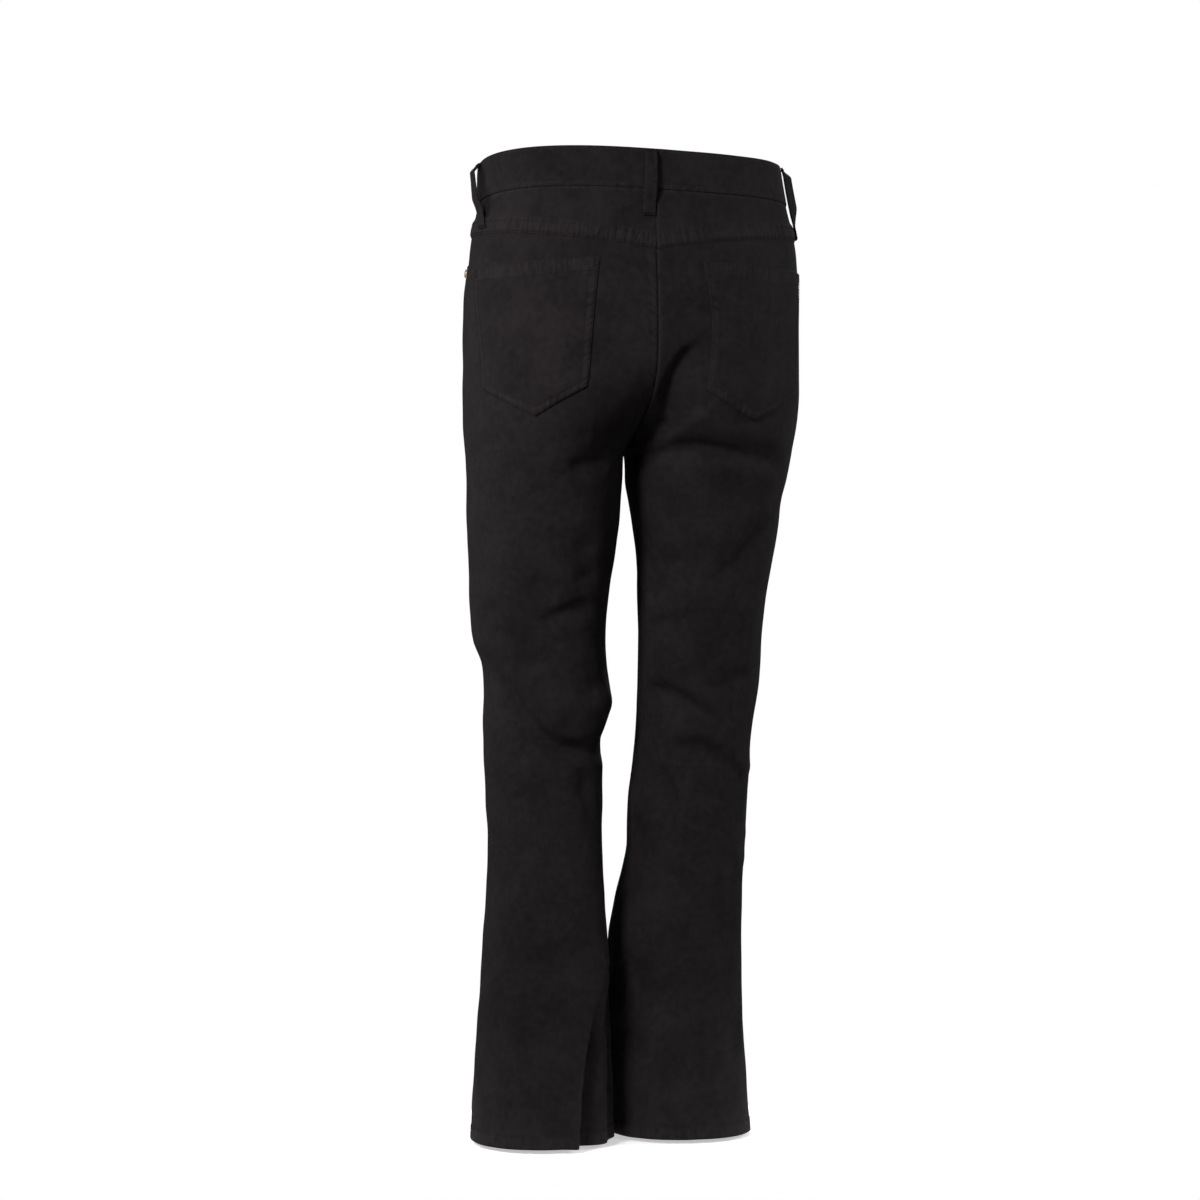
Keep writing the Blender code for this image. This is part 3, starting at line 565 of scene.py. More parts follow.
class Look:
    """A material that is put together node by node."""

    def __init__(self, name, roughness, metallic=0.0):
        self.material = bpy.data.materials.new(name)
        self.material.use_nodes = True
        self.tree = self.material.node_tree
        self.shader = self.tree.nodes["Principled BSDF"]
        self.shader.inputs["Roughness"].default_value = roughness
        self.shader.inputs["Metallic"].default_value = metallic

    def node(self, kind, settings=None, sockets=None, output=0):
        made = self.tree.nodes.new(kind)
        for name, value in (settings or {}).items():
            setattr(made, name, value)
        for key, value in (sockets or {}).items():
            self.feed(made.inputs[key], value)
        return Value(self, made.outputs[output])

    def feed(self, socket, value):
        if isinstance(value, Value):
            self.tree.links.new(value.socket, socket)
        else:
            socket.default_value = value

    def paint(self, name, value):
        self.feed(self.shader.inputs[name], value)

    def noise(self, vector, scale, detail=2.0, output=0):
        sockets = {"Vector": vector, "Scale": scale, "Detail": detail}
        return self.node("ShaderNodeTexNoise", {}, sockets, output)

    def point(self, x, y, z=0.0):
        return self.node("ShaderNodeCombineXYZ", {}, {0: x, 1: y, 2: z})

    def fade(self, value, start, end):
        """0 at start and 1 at end, soft at both."""
        settings = {"interpolation_type": "SMOOTHSTEP"}
        sockets = {"Value": value, "From Min": start, "From Max": end}
        return self.node("ShaderNodeMapRange", settings, sockets)

    def blend(self, factor, first, second):
        return self.node("ShaderNodeMix", {"data_type": "RGBA"}, {0: factor, 6: first, 7: second}, 2)


WARP_BLACK = (0.0056, 0.0044, 0.0047, 1.0)
WORN_BLACK = (0.0145, 0.0118, 0.0126, 1.0)
TWILL_PITCH = 0.0009     # from one diagonal rib of the weave to the next
Seam = namedtuple("Seam", "edge width pucker")


def denim(name, seams):
    """Black twill with a little brown in it, puckered and slightly worn along the named seams."""
    look = Look(name, 0.86)
    cut = look.node("ShaderNodeUVMap", {"uv_map": "cut"})
    far = look.node("ShaderNodeUVMap", {"uv_map": "far"})
    across = look.node("ShaderNodeSeparateXYZ", {}, {0: cut}, 0)
    along = look.node("ShaderNodeSeparateXYZ", {}, {0: cut}, 1)
    across_back = look.node("ShaderNodeSeparateXYZ", {}, {0: far}, 0)
    along_back = look.node("ShaderNodeSeparateXYZ", {}, {0: far}, 1)
    edges = {
        "left": (across, along), "right": (across_back, along),
        "low": (along, across), "high": (along_back, across),
    }
    solid = look.node("ShaderNodeTexCoord", {}, {}, 3)
    rib = ((across + along * 1.6) * (math.tau / TWILL_PITCH)).sine()
    yarn = (across * (math.tau / 0.00055)).sine() * (along * (math.tau / 0.00055)).sine()
    uneven = look.noise(solid, 26.0, 3.0)
    slub = look.noise(look.point(across * 900.0, along * 60.0), 1.0, 2.0)
    patchy = look.noise(solid, 150.0, 3.0)
    rumpled = look.noise(solid, 55.0, 2.0)
    height = rib * 0.00005 + yarn * 0.00003 + slub * 0.00008 + patchy * 0.0006 + rumpled * 0.0012
    wear = uneven * 0.68 + patchy * 0.52 + slub * 0.12 + rib * 0.05 - 0.32
    for k, seam in enumerate(seams):
        distance, run = edges[seam.edge]
        near = look.fade(distance, seam.width * 1.2, seam.width * 0.7)
        ripple = look.noise(look.point(run * 230.0, distance * 50.0, 3.7 * k), 1.0, 1.5)
        height = height + near * (ripple - 0.5) * seam.pucker
        wear = wear + near * (ripple * 0.95 - 0.32)
    look.paint("Base Color", look.blend(look.fade(wear, 0.05, 0.65), WARP_BLACK, WORN_BLACK))
    look.paint("Roughness", 0.80 + uneven * 0.12)
    look.shader.inputs["Specular IOR Level"].default_value = 0.10
    look.shader.inputs["Sheen Weight"].default_value = 0.002
    look.shader.inputs["Sheen Roughness"].default_value = 0.5
    bump = {"Strength": 1.0, "Distance": 1.0, "Height": height}
    look.paint("Normal", look.node("ShaderNodeBump", {}, bump))
    return look.material


TOP_START = -0.145
hem_puckers = Seam("low", 0.0130, 0.0022)
side_puckers = Seam("left", 0.0035, 0.0017)
panel_looks = {
    ("back", "left"): denim("back_left_denim", [side_puckers, Seam("right", 0.0095, 0.0030), hem_puckers]),
    ("back", "right"): denim("back_right_denim", [side_puckers, Seam("right", 0.0030, 0.0017), hem_puckers]),
    ("front", "left"): denim("front_left_denim", [side_puckers, Seam("right", 0.0040, 0.0020), hem_puckers]),
}
panel_looks["front", "right"] = panel_looks["front", "left"]


def leg_panel(half, at_back):
    """One leg panel, from the side seam to the inseam or the rise and from the hem to its top edge."""
    side = 1 if at_back else -1

    def place(column, row, lift):
        if at_back:
            top = yoke_low(column) + YOKE_LAP - 0.001
        else:
            top = mouth_height(half, mix(SIDE_SEAM_TURN, -92, column))
        z = np.where(row < 0, row, mix(TOP_START, top, np.maximum(row, 0)))
        turn = mix(SIDE_SEAM_TURN, side * 180.0, column)
        near_rise = mix(column**4, column, smooth((z - FORK_Z) / RISE_BLEND))
        turn = turn + side * (half.turn_at(0.0, z) - 180) * near_rise
        points = half.lifted(turn, z, lift)
        at_rise = smooth((column - 0.94) / 0.04) * (z > FORK_Z)
        points[..., 0] = mix(points[..., 0], half.skin(turn, z)[..., 0], at_rise)
        return points

    def relief(left, right, low, high):
        valleys = dip(left, VALLEY_WIDTH) + dip(right, VALLEY_WIDTH)
        return -SEAM_VALLEY * valleys

    hem = [HEM_Z + rise for rise in (0.0, 0.004, 0.008, 0.0117, 0.0126, 0.0134, 0.0145)]
    step = 0.0034 if at_back else 0.006
    rows = hem + spaced(HEM_Z + 0.018, -0.275, step) + spaced(-0.272, FORK_Z, 0.0022)
    rows += [-0.2606, -0.2598, -0.2586, -0.257, -0.255, -0.2525] + spaced(-0.2495, TOP_START, 0.0035)
    rows += list(np.linspace(0, 1, 24 if at_back else 30)[1:])
    if at_back:
        columns = with_edges(list(np.linspace(0, 1, 101)), 0.006)
    else:
        mouth_end = (MOUTH_TURN - SIDE_SEAM_TURN) / (-92 - SIDE_SEAM_TURN)
        beside = [mouth_end * (1 - (1 - t) ** 1.7) for t in np.linspace(0, 1, 26)]
        columns = with_edges(beside + list(np.linspace(mouth_end, 1, 36)[1:]), 0.006)
    word = "back" if at_back else "front"
    piece = cloth(
        f"{word}_panel_cloth_{half.name}", columns, rows, place,
        DENIM_WALL, relief, half.sign * side < 0,
    )
    piece.data.materials.append(panel_looks[word, half.name])
    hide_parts(f"{word}_panel_{half.name}")
    return place


panel_places = {}
for half in (LEFT, RIGHT):
    panel_places["back", half.name] = leg_panel(half, True)
    panel_places["front", half.name] = leg_panel(half, False)


# Yokes
# The two shaped pieces between the seat and the waistband. Their lower edges are turned under and
# felled over the top of the back panels with two rows of stitches, which pucker the cloth.

YOKE_WALL = 0.0014
YOKE_RAMP = 0.007
LAY_GAP = 0.0005
yoke_look = denim("yoke_denim", [
    Seam("low", 0.0155, 0.0036), Seam("high", 0.0040, 0.0017),
    Seam("left", 0.0030, 0.0014), Seam("right", 0.0040, 0.0022),
])


def yoke(half):
    def place(column, row, lift):
        low = yoke_low(column)
        top = under_band(half, mix(SIDE_SEAM_TURN, 90, column))
        z = mix(low, top, row)
        turn = mix(SIDE_SEAM_TURN, half.turn_at(0.0, z), column)
        lap = smooth((YOKE_LAP + YOKE_RAMP - (z - low)) / YOKE_RAMP) * (LAY_GAP + YOKE_WALL)
        return half.lifted(turn, z, lap + lift)

    def relief(left, right, low, high):
        folded = 0.0012 * dip(low, 0.0022) + 0.0003 * dip(low, 0.0012, 0.0120)
        valleys = dip(left, VALLEY_WIDTH) + dip(right, VALLEY_WIDTH)
        return -folded - 0.0008 * valleys - 0.0009 * dip(high, 0.0020)

    rows = [0, 0.012, 0.028, 0.05, 0.08] + spaced(0.11, 1, 0.03)
    columns = with_edges(list(np.linspace(0, 1, 71)), 0.006)
    piece = cloth(f"yoke_cloth_{half.name}", columns, rows, place, YOKE_WALL, relief, half.sign < 0)
    piece.data.materials.append(yoke_look)
    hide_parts(f"yoke_{half.name}")
    return place


yoke_places = {half.name: yoke(half) for half in (LEFT, RIGHT)}


# Waistband
# One long strip folded over a stiffener, stitched close to both edges. It runs right round the
# waist, and its right end goes under its left end at the front.

BAND_WALL = 0.0030
BAND_LIFT = 0.0012
TUCK_START = 349.0
TUCK_LENGTH = 6.5
UNDERLAP_ROUND = 371.5
OVERLAP_ROUND = -2.3
band_look = denim("waistband_denim", [
    Seam("low", 0.0045, 0.0020), Seam("high", 0.0040, 0.0014),
])


def round_waist(degrees, z, lift):
    """A place on the hips or the waist: 0 at the centre front, 90 at the wearer's left, 180 behind."""
    degrees = np.asarray(degrees, float) % 360
    share = np.minimum(degrees, 360 - degrees) / 180
    left_edge, right_edge = LEFT.turn_at(0.0, z), RIGHT.turn_at(0.0, z)
    on_left = LEFT.lifted(mix(-left_edge, left_edge, share), z, lift)
    on_right = RIGHT.lifted(mix(-right_edge, right_edge, share), z, lift)
    return np.where((degrees <= 180)[..., None], on_left, on_right)


def band_place(column, row, lift):
    tuck = smooth((column - TUCK_START) / TUCK_LENGTH) * (BAND_WALL + LAY_GAP)
    return round_waist(column, band_top(column) - BAND_HEIGHT * (1 - row), BAND_LIFT - tuck + lift)


def band_relief(left, right, low, high):
    rolled = dip(low, 0.0016) + dip(high, 0.0016)
    grooves = dip(low, 0.0013, 0.0035) + dip(high, 0.0013, 0.0035)
    fold_under = dip(high, 0.0011, 0.0130)
    return -0.0007 * rolled - 0.00022 * grooves - 0.00012 * fold_under


waistband = cloth(
    "waistband_cloth", spaced(OVERLAP_ROUND, UNDERLAP_ROUND, 1.1), spaced(0, 1, 0.036), band_place,
    BAND_WALL, band_relief, roundness=0.0008,
)
waistband.data.materials.append(band_look)
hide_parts("waistband")


# Belt loops
# Five narrow strips of the same denim, folded in three and stitched along both edges. Bar tacks hold
# them at the top of the waistband and on the cloth below it.

LOOP_WIDTH = 0.012
LOOP_WALL = 0.0018
LOOP_TOP_GAP = 0.0015
Loop = namedtuple("Loop", "name low_degrees top_degrees low_z lap stand lean")
LOOPS = [
    Loop("centre_back", 177.5, 178.7, -0.041, 0.0, 0.0050, 0.0),
    Loop("side_left", 108, 92.5, -0.049, LAY_GAP + YOKE_WALL, 0.0071, 0.0),
    Loop("side_right", 258.5, 257, -0.052, LAY_GAP + YOKE_WALL, 0.0044, 1.85),
    Loop("front_left", 22, 22, -0.063, 0.0, 0.0060, 0.0),
    Loop("front_right", 338, 338, -0.063, 0.0, 0.0060, 0.0),
]
loop_look = denim("belt_loop_denim", [Seam("left", 0.0032, 0.0014), Seam("right", 0.0032, 0.0014)])


def belt_loop(loop):
    top = band_top(loop.top_degrees) - LOOP_TOP_GAP
    beside = [round_waist(loop.top_degrees + side, top, 0.0) for side in (1, -1)]
    step = np.linalg.norm(beside[0] - beside[1])

    def place(column, row, lift):
        rest = mix(loop.lap, BAND_LIFT, smooth((row - 0.12) / 0.25))
        stand = loop.stand * smooth((row - 0.10) / 0.36) * smooth((1 - row) / 0.15) * (1 + loop.lean * column)
        degrees = mix(loop.low_degrees, loop.top_degrees, row) + column * LOOP_WIDTH / (step / 2)
        return round_waist(degrees, mix(loop.low_z, top, row), rest + LAY_GAP + stand + LOOP_WALL + lift)

    def relief(left, right, low, high):
        rolled = dip(left, 0.0010) + dip(right, 0.0010)
        ends = dip(low, 0.0012) + dip(high, 0.0012)
        return -0.0005 * rolled - 0.0004 * ends

    piece = cloth(
        f"belt_loop_{loop.name}_cloth", spaced(-0.5, 0.5, 0.07), spaced(0, 1, 0.018), place,
        LOOP_WALL, relief, roundness=0.0004,
    )
    piece.data.materials.append(loop_look)
    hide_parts(f"belt_loop_{loop.name}")
    return place


loop_places = {loop.name: belt_loop(loop) for loop in LOOPS}


# Back pockets
# Two five-sided patches sewn flat on the seat by their sides and points. The top edges are turned in
# twice and stitched, and bar tacks hold their corners.

POCKET_WALL = 0.0014
POCKET_GAP = 0.0009
Pocket = namedtuple(
    "Pocket", "inner_top inner_low inner_bend outer_top outer_low tip z_inner z_outer z_low z_tip"
)
LEFT_POCKET = Pocket(0.0560, 0.0685, 0.0015, 14, 26, 0.58, -0.082, -0.0895, -0.207, -0.235)
RIGHT_POCKET = Pocket(0.0455, 0.0490, 0.0060, 20, 34, 0.50, -0.085, -0.0875, -0.208, -0.237)
pocket_look = denim("back_pocket_denim", [
    Seam("left", 0.0085, 0.0025), Seam("right", 0.0085, 0.0025),
    Seam("low", 0.0085, 0.0025), Seam("high", 0.0150, 0.0017),
])


def back_pocket(half, pocket):
    def place(column, row, lift):
        tip = np.minimum(column / pocket.tip, (1 - column) / (1 - pocket.tip))
        low = mix(pocket.z_low, pocket.z_tip, tip)
        z = mix(low, mix(pocket.z_outer, pocket.z_inner, column), row)
        height = (z - pocket.z_low) / (pocket.z_inner - pocket.z_low)
        bulge = pocket.inner_bend * 4 * height * (1 - height)
        inner = half.turn_at(mix(pocket.inner_low, pocket.inner_top, height) + bulge, z)
        outer = mix(pocket.outer_low, pocket.outer_top, height)
        return half.lifted(mix(outer, inner, column), z, POCKET_GAP + POCKET_WALL + lift)

    def relief(left, right, low, high):
        sewn = np.minimum(np.minimum(left, right), low)
        pressed = 0.0007 * dip(sewn, 0.0022) + 0.0003 * dip(sewn, 0.0015, 0.0072)
        hem = 0.0004 * dip(high, 0.0016, 0.0140) + 0.0004 * dip(high, 0.0012)
        return -pressed - hem

    rows = [0, 0.006, 0.014, 0.025, 0.04] + spaced(0.055, 0.96, 0.016) + [0.975, 0.986, 0.994, 1]
    columns = sorted({*with_edges(list(np.linspace(0, 1, 61)), 0.010), pocket.tip})
    piece = cloth(
        f"back_pocket_cloth_{half.name}", columns, rows, place,
        POCKET_WALL, relief, half.sign < 0,
    )
    piece.data.materials.append(pocket_look)
    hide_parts(f"back_pocket_{half.name}")
    return place


pocket_places = {
    "left": back_pocket(LEFT, LEFT_POCKET),
    "right": back_pocket(RIGHT, RIGHT_POCKET),
}


# Front pocket facings
# The pieces of denim that show inside the curved mouths of the front pockets. They are sewn in with
# the side seams and under the waistband.

FACING_WALL = 0.0012
FACING_REACH = 0.012
FACING_GAP = 0.0017
FACING_TOP_GAP = 0.0005
FACING_PAST = 5.0
facing_look = denim("facing_denim", [Seam("left", 0.0030, 0.0011)])


def pocket_facing(half):
    def place(column, row, lift):
        turn = mix(SIDE_SEAM_TURN, MOUTH_TURN - FACING_PAST, column)
        top = under_band(half, turn)
        drop = (1 - column**3) ** (1 / 3)
        z = mix(mix(top, MOUTH_LOW_Z - FACING_REACH, drop), top, row)
        sewn = smooth((row - 0.6) / 0.4) * smooth((0.84 - column) / 0.10)
        return half.lifted(turn, z, lift - DENIM_WALL - mix(FACING_GAP, FACING_TOP_GAP, sewn))

    piece = cloth(
        f"pocket_facing_cloth_{half.name}", spaced(0, 0.97, 0.03), spaced(0, 1, 0.05), place,
        FACING_WALL, None, half.sign > 0,
    )
    piece.data.materials.append(facing_look)
    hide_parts(f"pocket_facing_{half.name}")


for half in (LEFT, RIGHT):
    pocket_facing(half)


# Fly
# The closed fly: the wearer's left front laps over the right one, and its J-shaped edge is held by
# two rows of stitches.

FLY_WALL = 0.0014
FLY_LAP = 0.006
FLY_WIDTH = 0.036
FLY_LOW_Z = -0.185
FLY_CURVE = 0.040
fly_look = denim("fly_denim", [
    Seam("left", 0.0045, 0.0017), Seam("right", 0.0085, 0.0020), Seam("low", 0.0085, 0.0020),
])


def fly_at(x, z, lift):
    on_left = LEFT.lifted(-LEFT.turn_at(np.maximum(x, 0.0), z), z, LAY_GAP + FLY_WALL + lift)
    on_right = RIGHT.lifted(-RIGHT.turn_at(np.maximum(-x, 0.0), z), z, LAY_GAP + FLY_WALL + lift)
    return np.where((x > 0)[..., None], on_left, on_right)


def fly_place(column, row, lift):
    x = mix(-FLY_LAP, FLY_WIDTH, column)
    bend = 1 - np.sqrt(1 - np.maximum(x / FLY_WIDTH, 0.0) ** 2)
    return fly_at(x, mix(FLY_LOW_Z + FLY_CURVE * bend, under_band(LEFT, -90), row), lift)


def fly_relief(left, right, low, high):
    edge = np.minimum(np.minimum(left, right), low)
    return -0.0006 * dip(edge, 0.0014)


fly_columns = [0.0, 0.02, 0.05, 0.09] + spaced(0.13, 0.88, 0.05) + [0.92, 0.95, 0.975, 0.99, 1.0]
fly = cloth(
    "fly_cloth", fly_columns, spaced(0, 1, 0.018), fly_place,
    FLY_WALL, fly_relief,
)
fly.data.materials.append(fly_look)
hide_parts("fly")


# Topstitching
# Rows of stitches in black polyester thread, about eight to the inch, half sunk in the denim. Short
# bar tacks of close cross stitches hold the pockets' corners, the belt loops and the fly.

STITCH_PITCH = 0.0031
STITCH_LENGTH = 0.0026
TACK_PITCH = 0.0006
TACK_WIDTH = 0.0021
THREAD_WIDTH = 0.00055
THREAD_HEIGHT = 0.00042
TWIN_ROWS = (0.0016, 0.0078)     # distances of a double row from the edge that it holds
SEAT_ROWS = (0.0016, 0.0080)     # the same on the centre seam
YOKE_ROWS = (0.0020, 0.0120)
POCKET_HEM_ROWS = (0.0016, 0.0140)
POCKET_ACROSS = 0.135            # size of a back pocket between its rows of stitches
POCKET_DEEP = 0.140
thread = Look("black_thread", 0.6)
thread_place = thread.node("ShaderNodeTexCoord", {}, {}, 3)
thread_fuzz = thread.noise(thread_place, 1500.0, 2.0)
thread.paint("Base Color", thread.blend(thread_fuzz, (0.003, 0.0023, 0.0025, 1), (0.0105, 0.0083, 0.0088, 1)))
thread.paint("Roughness", 0.62 + thread_fuzz * 0.2)
thread.shader.inputs["Specular IOR Level"].default_value = 0.08


def sew(name, rows, tacks=()):
    """Stitches along each row and across each tack. Both are functions that give a line for a lift."""
    bm = bmesh.new()
    for line, pitch, long, wide in (
        [(line, STITCH_PITCH, STITCH_LENGTH, THREAD_WIDTH) for line in rows]
        + [(line, TACK_PITCH, THREAD_WIDTH, TACK_WIDTH) for line in tacks]
    ):
        low, high = line(0.0), line(0.001)
        run = np.concatenate([[0.0], np.cumsum(np.linalg.norm(np.diff(low, axis=0), axis=1))])
        middles = (np.arange(int(run[-1] / pitch)) + 0.5) * pitch
        here, further, above = (
            np.stack([np.interp(at, run, side[:, axis]) for axis in range(3)], axis=-1)
            for at, side in ((middles, low), (middles + 0.0002, low), (middles, high))
        )
        for middle, next_one, over in zip(here, further, above):
            out = Vector(over - middle).normalized()
            ahead = Vector(next_one - middle).normalized()
            sides = (ahead * long, out.cross(ahead) * wide, out * THREAD_HEIGHT)
            matrix = Matrix(sides).transposed().to_4x4()
            matrix.translation = middle
            bmesh.ops.create_icosphere(bm, subdivisions=1, radius=0.5, matrix=matrix)
    mesh = mesh_of(bm, name)
    mesh.materials.append(thread.material)
    piece = placed(mesh)
    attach(piece, "root")


def along(place, columns, rows):
    """A line on a piece of cloth through places given as columns and rows."""
    stops = np.linspace(0, 1, len(columns))
    finer = np.linspace(0, 1, 60 * (len(columns) - 1) + 1)
    column, row = np.interp(finer, stops, columns), np.interp(finer, stops, rows)
    return lambda lift: place(column, row, lift)


def hem_row(half):
    turns = np.linspace(-180, 180, 400)
    heights = np.full_like(turns, HEM_Z + HEM_DEPTH - 0.0012)
    return lambda lift: half.lifted(turns, heights, lift)


for half in (LEFT, RIGHT):
    sew(f"hem_stitches_{half.name}", [hem_row(half)])


def yoke_row(half, inset):
    column = np.linspace(0.004, 0.997, 200)
    low = yoke_low(column)
    top = under_band(half, mix(SIDE_SEAM_TURN, 90, column))
    return lambda lift: yoke_places[half.name](column, inset / (top - low), lift - 0.0001)


def seat_row(distance, low, high, lap=0.0):
    z = np.linspace(low, high, 160)
    return lambda lift: LEFT.lifted(LEFT.turn_at(distance, z), z, lap + lift)


sew("yoke_stitches", [yoke_row(half, inset) for half in (LEFT, RIGHT) for inset in YOKE_ROWS])
sew("seat_stitches", [seat_row(inset, FORK_Z + 0.012, YOKE_LOW_CENTRE - 0.001) for inset in SEAT_ROWS])


def pocket_rows(half):
    place = pocket_places[half.name]
    tip = (LEFT_POCKET if half is LEFT else RIGHT_POCKET).tip
    wide = 1 / POCKET_ACROSS
    tall = 1 / POCKET_DEEP
    rows = []
    for d in TWIN_ROWS:
        left, right, low = d * wide, 1 - d * wide, d * tall
        rows.append(along(place, [left, left, tip, right, right], [0.997, low, low * 1.15, low, 0.997]))
    for d in POCKET_HEM_ROWS:
        rows.append(along(place, [0.0016 * wide, 1 - 0.0016 * wide], [1 - d * tall, 1 - d * tall]))
    tacks = [along(place, [side, side], [0.995, 0.925]) for side in (0.004 * wide, 1 - 0.004 * wide)]
    return rows, tacks


for half in (LEFT, RIGHT):
    sew(f"back_pocket_stitches_{half.name}", *pocket_rows(half))

round_band = np.linspace(OVERLAP_ROUND + 0.8, TUCK_START + 5, 900)
sew("waistband_stitches", [
    lambda lift, share=share: band_place(round_band, np.full_like(round_band, share), lift - 0.0002)
    for share in (0.055, 0.945)
])
for loop in LOOPS:
    place = loop_places[loop.name]
    sew(
        f"belt_loop_stitches_{loop.name}",
        [along(place, [side, side], [0.01, 0.99]) for side in (-0.36, 0.36)],
        [along(place, [-0.45, 0.45], [end, end]) for end in (0.03, 0.965)],
    )


def mouth_row(half, distance):
    share = np.linspace(0.03, 1, 120)
    drop = (1 - share**MOUTH_ROUNDNESS) ** (1 / MOUTH_ROUNDNESS)
    turn = mix(SIDE_SEAM_TURN, MOUTH_TURN, share * (1 + distance / 0.045))
    z = mix(under_band(half, turn) - 0.001, MOUTH_LOW_Z - distance, drop)
    return lambda lift: half.lifted(turn, z, lift)


def fly_row(distance):
    across, down = FLY_WIDTH - distance, FLY_CURVE - distance
    bend = np.linspace(0, math.pi / 2, 60)
    middle = FLY_LOW_Z + FLY_CURVE
    x = np.concatenate([np.full(60, across), across * np.cos(bend)])
    z = np.concatenate([np.linspace(under_band(LEFT, -90) - 0.001, middle, 60), middle - down * np.sin(bend)])
    return lambda lift: fly_at(x, z, lift)


sew("front_pocket_stitches", [mouth_row(half, inset) for half in (LEFT, RIGHT) for inset in TWIN_ROWS])
fly_tack = np.linspace(0.0, 1.0, 20)
sew(
    "fly_stitches", [fly_row(inset) for inset in TWIN_ROWS],
    [lambda lift: fly_at(0.004 + 0.004 * fly_tack, FLY_LOW_Z + 0.006 + 0.008 * fly_tack, lift)],
)


# Button and rivets
# A tack button with a domed rim and a sunken middle, and flat burred rivets, all of one aged brass.
# They are pressed through the cloth.

Turned = namedtuple("Turned", "radius height")
BUTTON_RIM = [
    Turned(0.0, 0.0), Turned(0.0070, 0.0), Turned(0.0082, 0.0005), Turned(0.00848, 0.0013),
    Turned(0.0083, 0.0021), Turned(0.0078, 0.0027), Turned(0.0073, 0.0029), Turned(0.0067, 0.0027),
    Turned(0.0062, 0.0023), Turned(0.0056, 0.0021), Turned(0.0040, 0.0024), Turned(0.0020, 0.0026),
    Turned(0.0, 0.00265),
]
RIVET_CAP = [
    Turned(0.0, 0.0), Turned(0.0044, 0.0), Turned(0.0045, 0.0004), Turned(0.0042, 0.0009),
    Turned(0.0034, 0.0011), Turned(0.0027, 0.0011), Turned(0.0022, 0.0016), Turned(0.0012, 0.00178),
    Turned(0.0, 0.0018),
]
BUTTON_ROUND = 3.8
brass = Look("aged_brass_finish", 0.38, 1.0)
brass_place = brass.node("ShaderNodeTexCoord", {}, {}, 3)
tarnish = brass.fade(brass.noise(brass_place, 420.0, 4.0), 0.38, 0.62)
scratches = brass.noise(brass_place, 2600.0, 2.0)
brass.paint("Base Color", brass.blend(tarnish, (0.17, 0.115, 0.065, 1), (0.52, 0.41, 0.26, 1)))
brass.paint("Roughness", 0.52 - tarnish * 0.20 + scratches * 0.06)
brass.paint("Normal", brass.node("ShaderNodeBump", {}, {"Distance": 1.0, "Height": scratches * 0.00006}))


def turned_piece(name, profile, foot, above, node):
    """A metal piece turned on its axis, standing on the cloth at foot."""
    bm = bmesh.new()
    foot, above = Vector(foot), Vector(above)
    axis = (above - foot).normalized()
    across = axis.orthogonal().normalized()
    verts = [bm.verts.new(foot + across * p.radius + axis * p.height) for p in profile]
    edges = [bm.edges.new(pair) for pair in zip(verts, verts[1:])]
    bmesh.ops.spin(bm, geom=verts + edges, cent=foot, axis=axis, angle=math.tau, steps=40, use_merge=True)
    bmesh.ops.remove_doubles(bm, verts=bm.verts, dist=0.00003)
    bmesh.ops.recalc_face_normals(bm, faces=bm.faces)
    mesh = mesh_of(bm, name)
    mesh.materials.append(brass.material)
    piece = placed(mesh)
    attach(piece, "root")
    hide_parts(node)


for half in (LEFT, RIGHT):
    for where, turn, z in (
        ("side", SIDE_SEAM_TURN - 3.5, MOUTH_LOW_Z - 0.007),
        ("top", MOUTH_TURN - 3.0, float(under_band(half, MOUTH_TURN)) - 0.008),
    ):
        turned_piece(
            f"rivet_cap_{half.name}_{where}", RIVET_CAP,
            half.lifted(turn, z, LAY_GAP), half.lifted(turn, z, LAY_GAP + 0.01), f"rivet_{half.name}_{where}",
        )
button_z = float(band_top(BUTTON_ROUND)) - BAND_HEIGHT / 2
turned_piece(
    "tack_button", BUTTON_RIM,
    round_waist(BUTTON_ROUND, button_z, BAND_LIFT + LAY_GAP),
    round_waist(BUTTON_ROUND, button_z, BAND_LIFT + LAY_GAP + 0.01), "button",
)


# Floor, light and camera
# A plain pale floor and soft light from all round, with the camera behind the jeans, a little to the
# wearer's right and level with the thighs.

FLOOR_Z = -0.951
FLOOR_RADIUS = 0.25
WALLS_GLOW = 0.10        # how bright the white walls of the studio are for the jeans
paper = Look("pale_floor", 0.9)
paper.shader.inputs["Base Color"].default_value = (0.88, 0.88, 0.88, 1)
paper.shader.inputs["Emission Color"].default_value = (1, 1, 1, 1)
paper.shader.inputs["Emission Strength"].default_value = 0.50
bm = bmesh.new()
middle = Matrix.Translation((0, 0, FLOOR_Z))
bmesh.ops.create_circle(bm, cap_ends=True, segments=128, radius=FLOOR_RADIUS, matrix=middle)
mesh = mesh_of(bm, "floor")
mesh.materials.append(paper.material)
floor = placed(mesh)

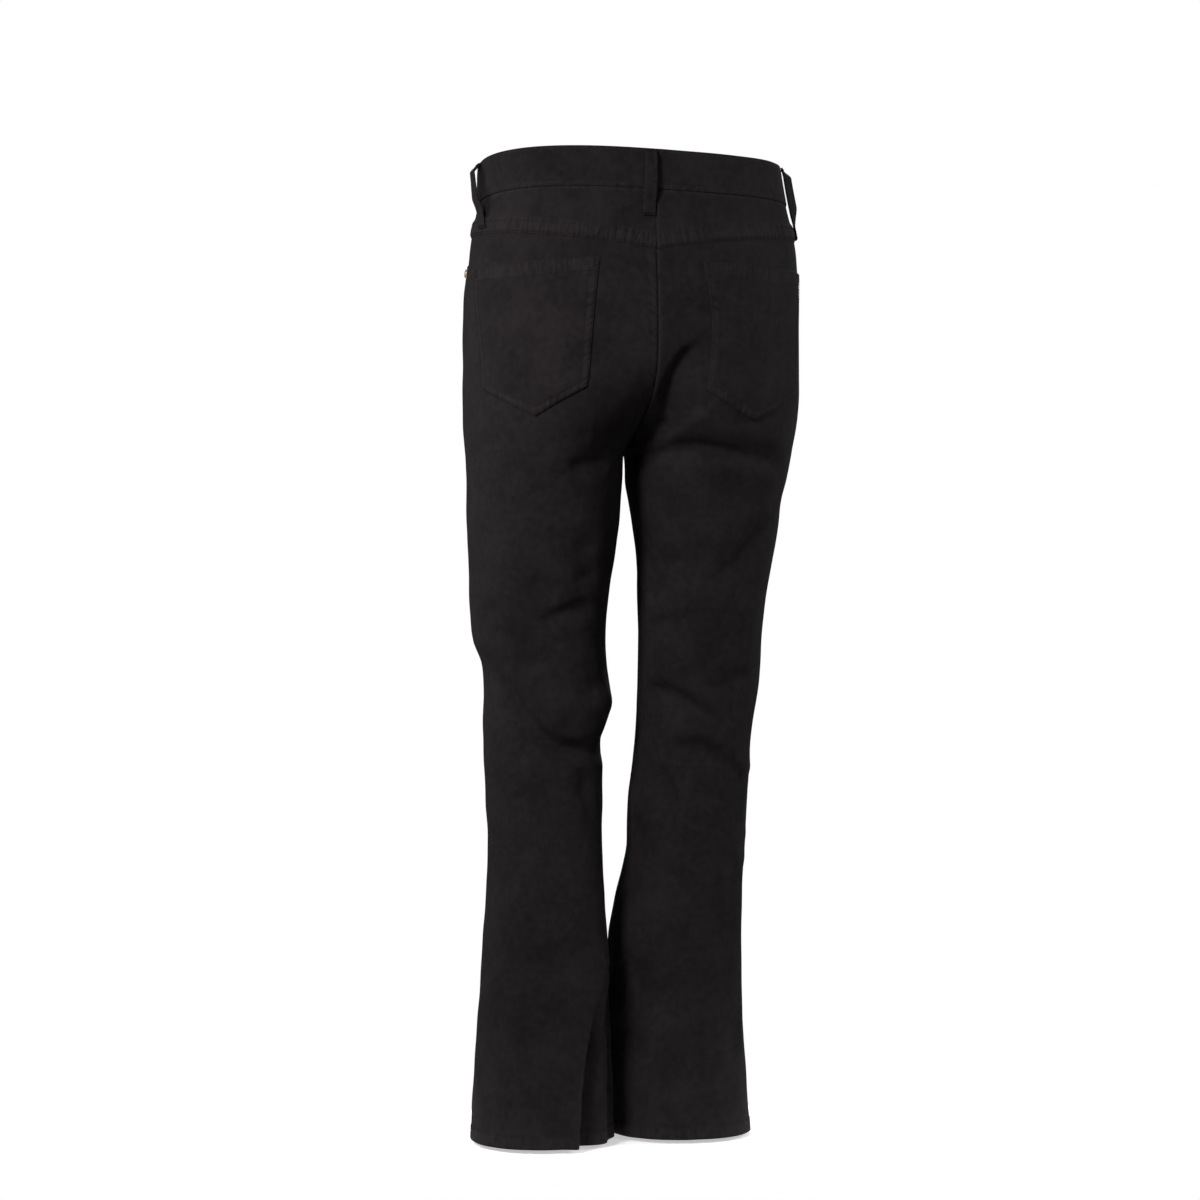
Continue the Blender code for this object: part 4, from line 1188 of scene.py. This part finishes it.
world = bpy.data.worlds.new("studio")
world.use_nodes = True
paths = world.node_tree.nodes.new("ShaderNodeLightPath")
strength = world.node_tree.nodes.new("ShaderNodeMapRange")
strength.inputs["To Min"].default_value = WALLS_GLOW
world.node_tree.links.new(paths.outputs["Is Camera Ray"], strength.inputs["Value"])
world.node_tree.links.new(strength.outputs["Result"], world.node_tree.nodes["Background"].inputs["Strength"])
world.node_tree.nodes["Background"].inputs["Color"].default_value = (1, 1, 1, 1)
bpy.context.scene.world = world
bpy.context.scene.view_settings.view_transform = "Standard"

TOWARD = Vector((math.sin(math.radians(12)), math.cos(math.radians(12)), 0))
SIDEWAYS = Vector((-TOWARD.y, TOWARD.x, 0))
CENTRE = Vector((0, 0, -0.412))


def soft_light(name, place, width, watts, spread=180):
    lamp = bpy.data.lights.new(name, "AREA")
    lamp.shape = "RECTANGLE"
    lamp.size = width
    lamp.size_y = width
    lamp.energy = watts
    lamp.spread = math.radians(spread)
    holder = bpy.data.objects.new(name, lamp)
    holder.location = place
    holder.rotation_euler = (CENTRE - place).to_track_quat("-Z", "Y").to_euler()
    bpy.context.scene.collection.objects.link(holder)


soft_light("key", CENTRE + TOWARD * 1.4 - SIDEWAYS * 0.85 + Vector((0, 0, 0.75)), 0.45, 7.4, 80)
soft_light("fill", CENTRE + TOWARD * 1.6 + SIDEWAYS * 1.4 + Vector((0, 0, 0.7)), 1.0, 8)
soft_light("right", CENTRE - TOWARD * 0.35 + SIDEWAYS * 1.8 + Vector((0, 0, 0.6)), 0.8, 20)
soft_light("left", CENTRE - TOWARD * 0.35 - SIDEWAYS * 1.8 + Vector((0, 0, 0.6)), 0.8, 18)
soft_light("front", CENTRE - TOWARD * 1.6 + SIDEWAYS * 0.2 + Vector((0, 0, 1.4)), 1.0, 40)

lens = bpy.data.cameras.new("camera")
lens.lens = 96
lens.sensor_width = 36
camera = bpy.data.objects.new("camera", lens)
camera.location = CENTRE + TOWARD * 3.2 - SIDEWAYS * 0.031
camera.rotation_euler = (-TOWARD).to_track_quat("-Z", "Y").to_euler()
bpy.context.scene.collection.objects.link(camera)
bpy.context.scene.camera = camera
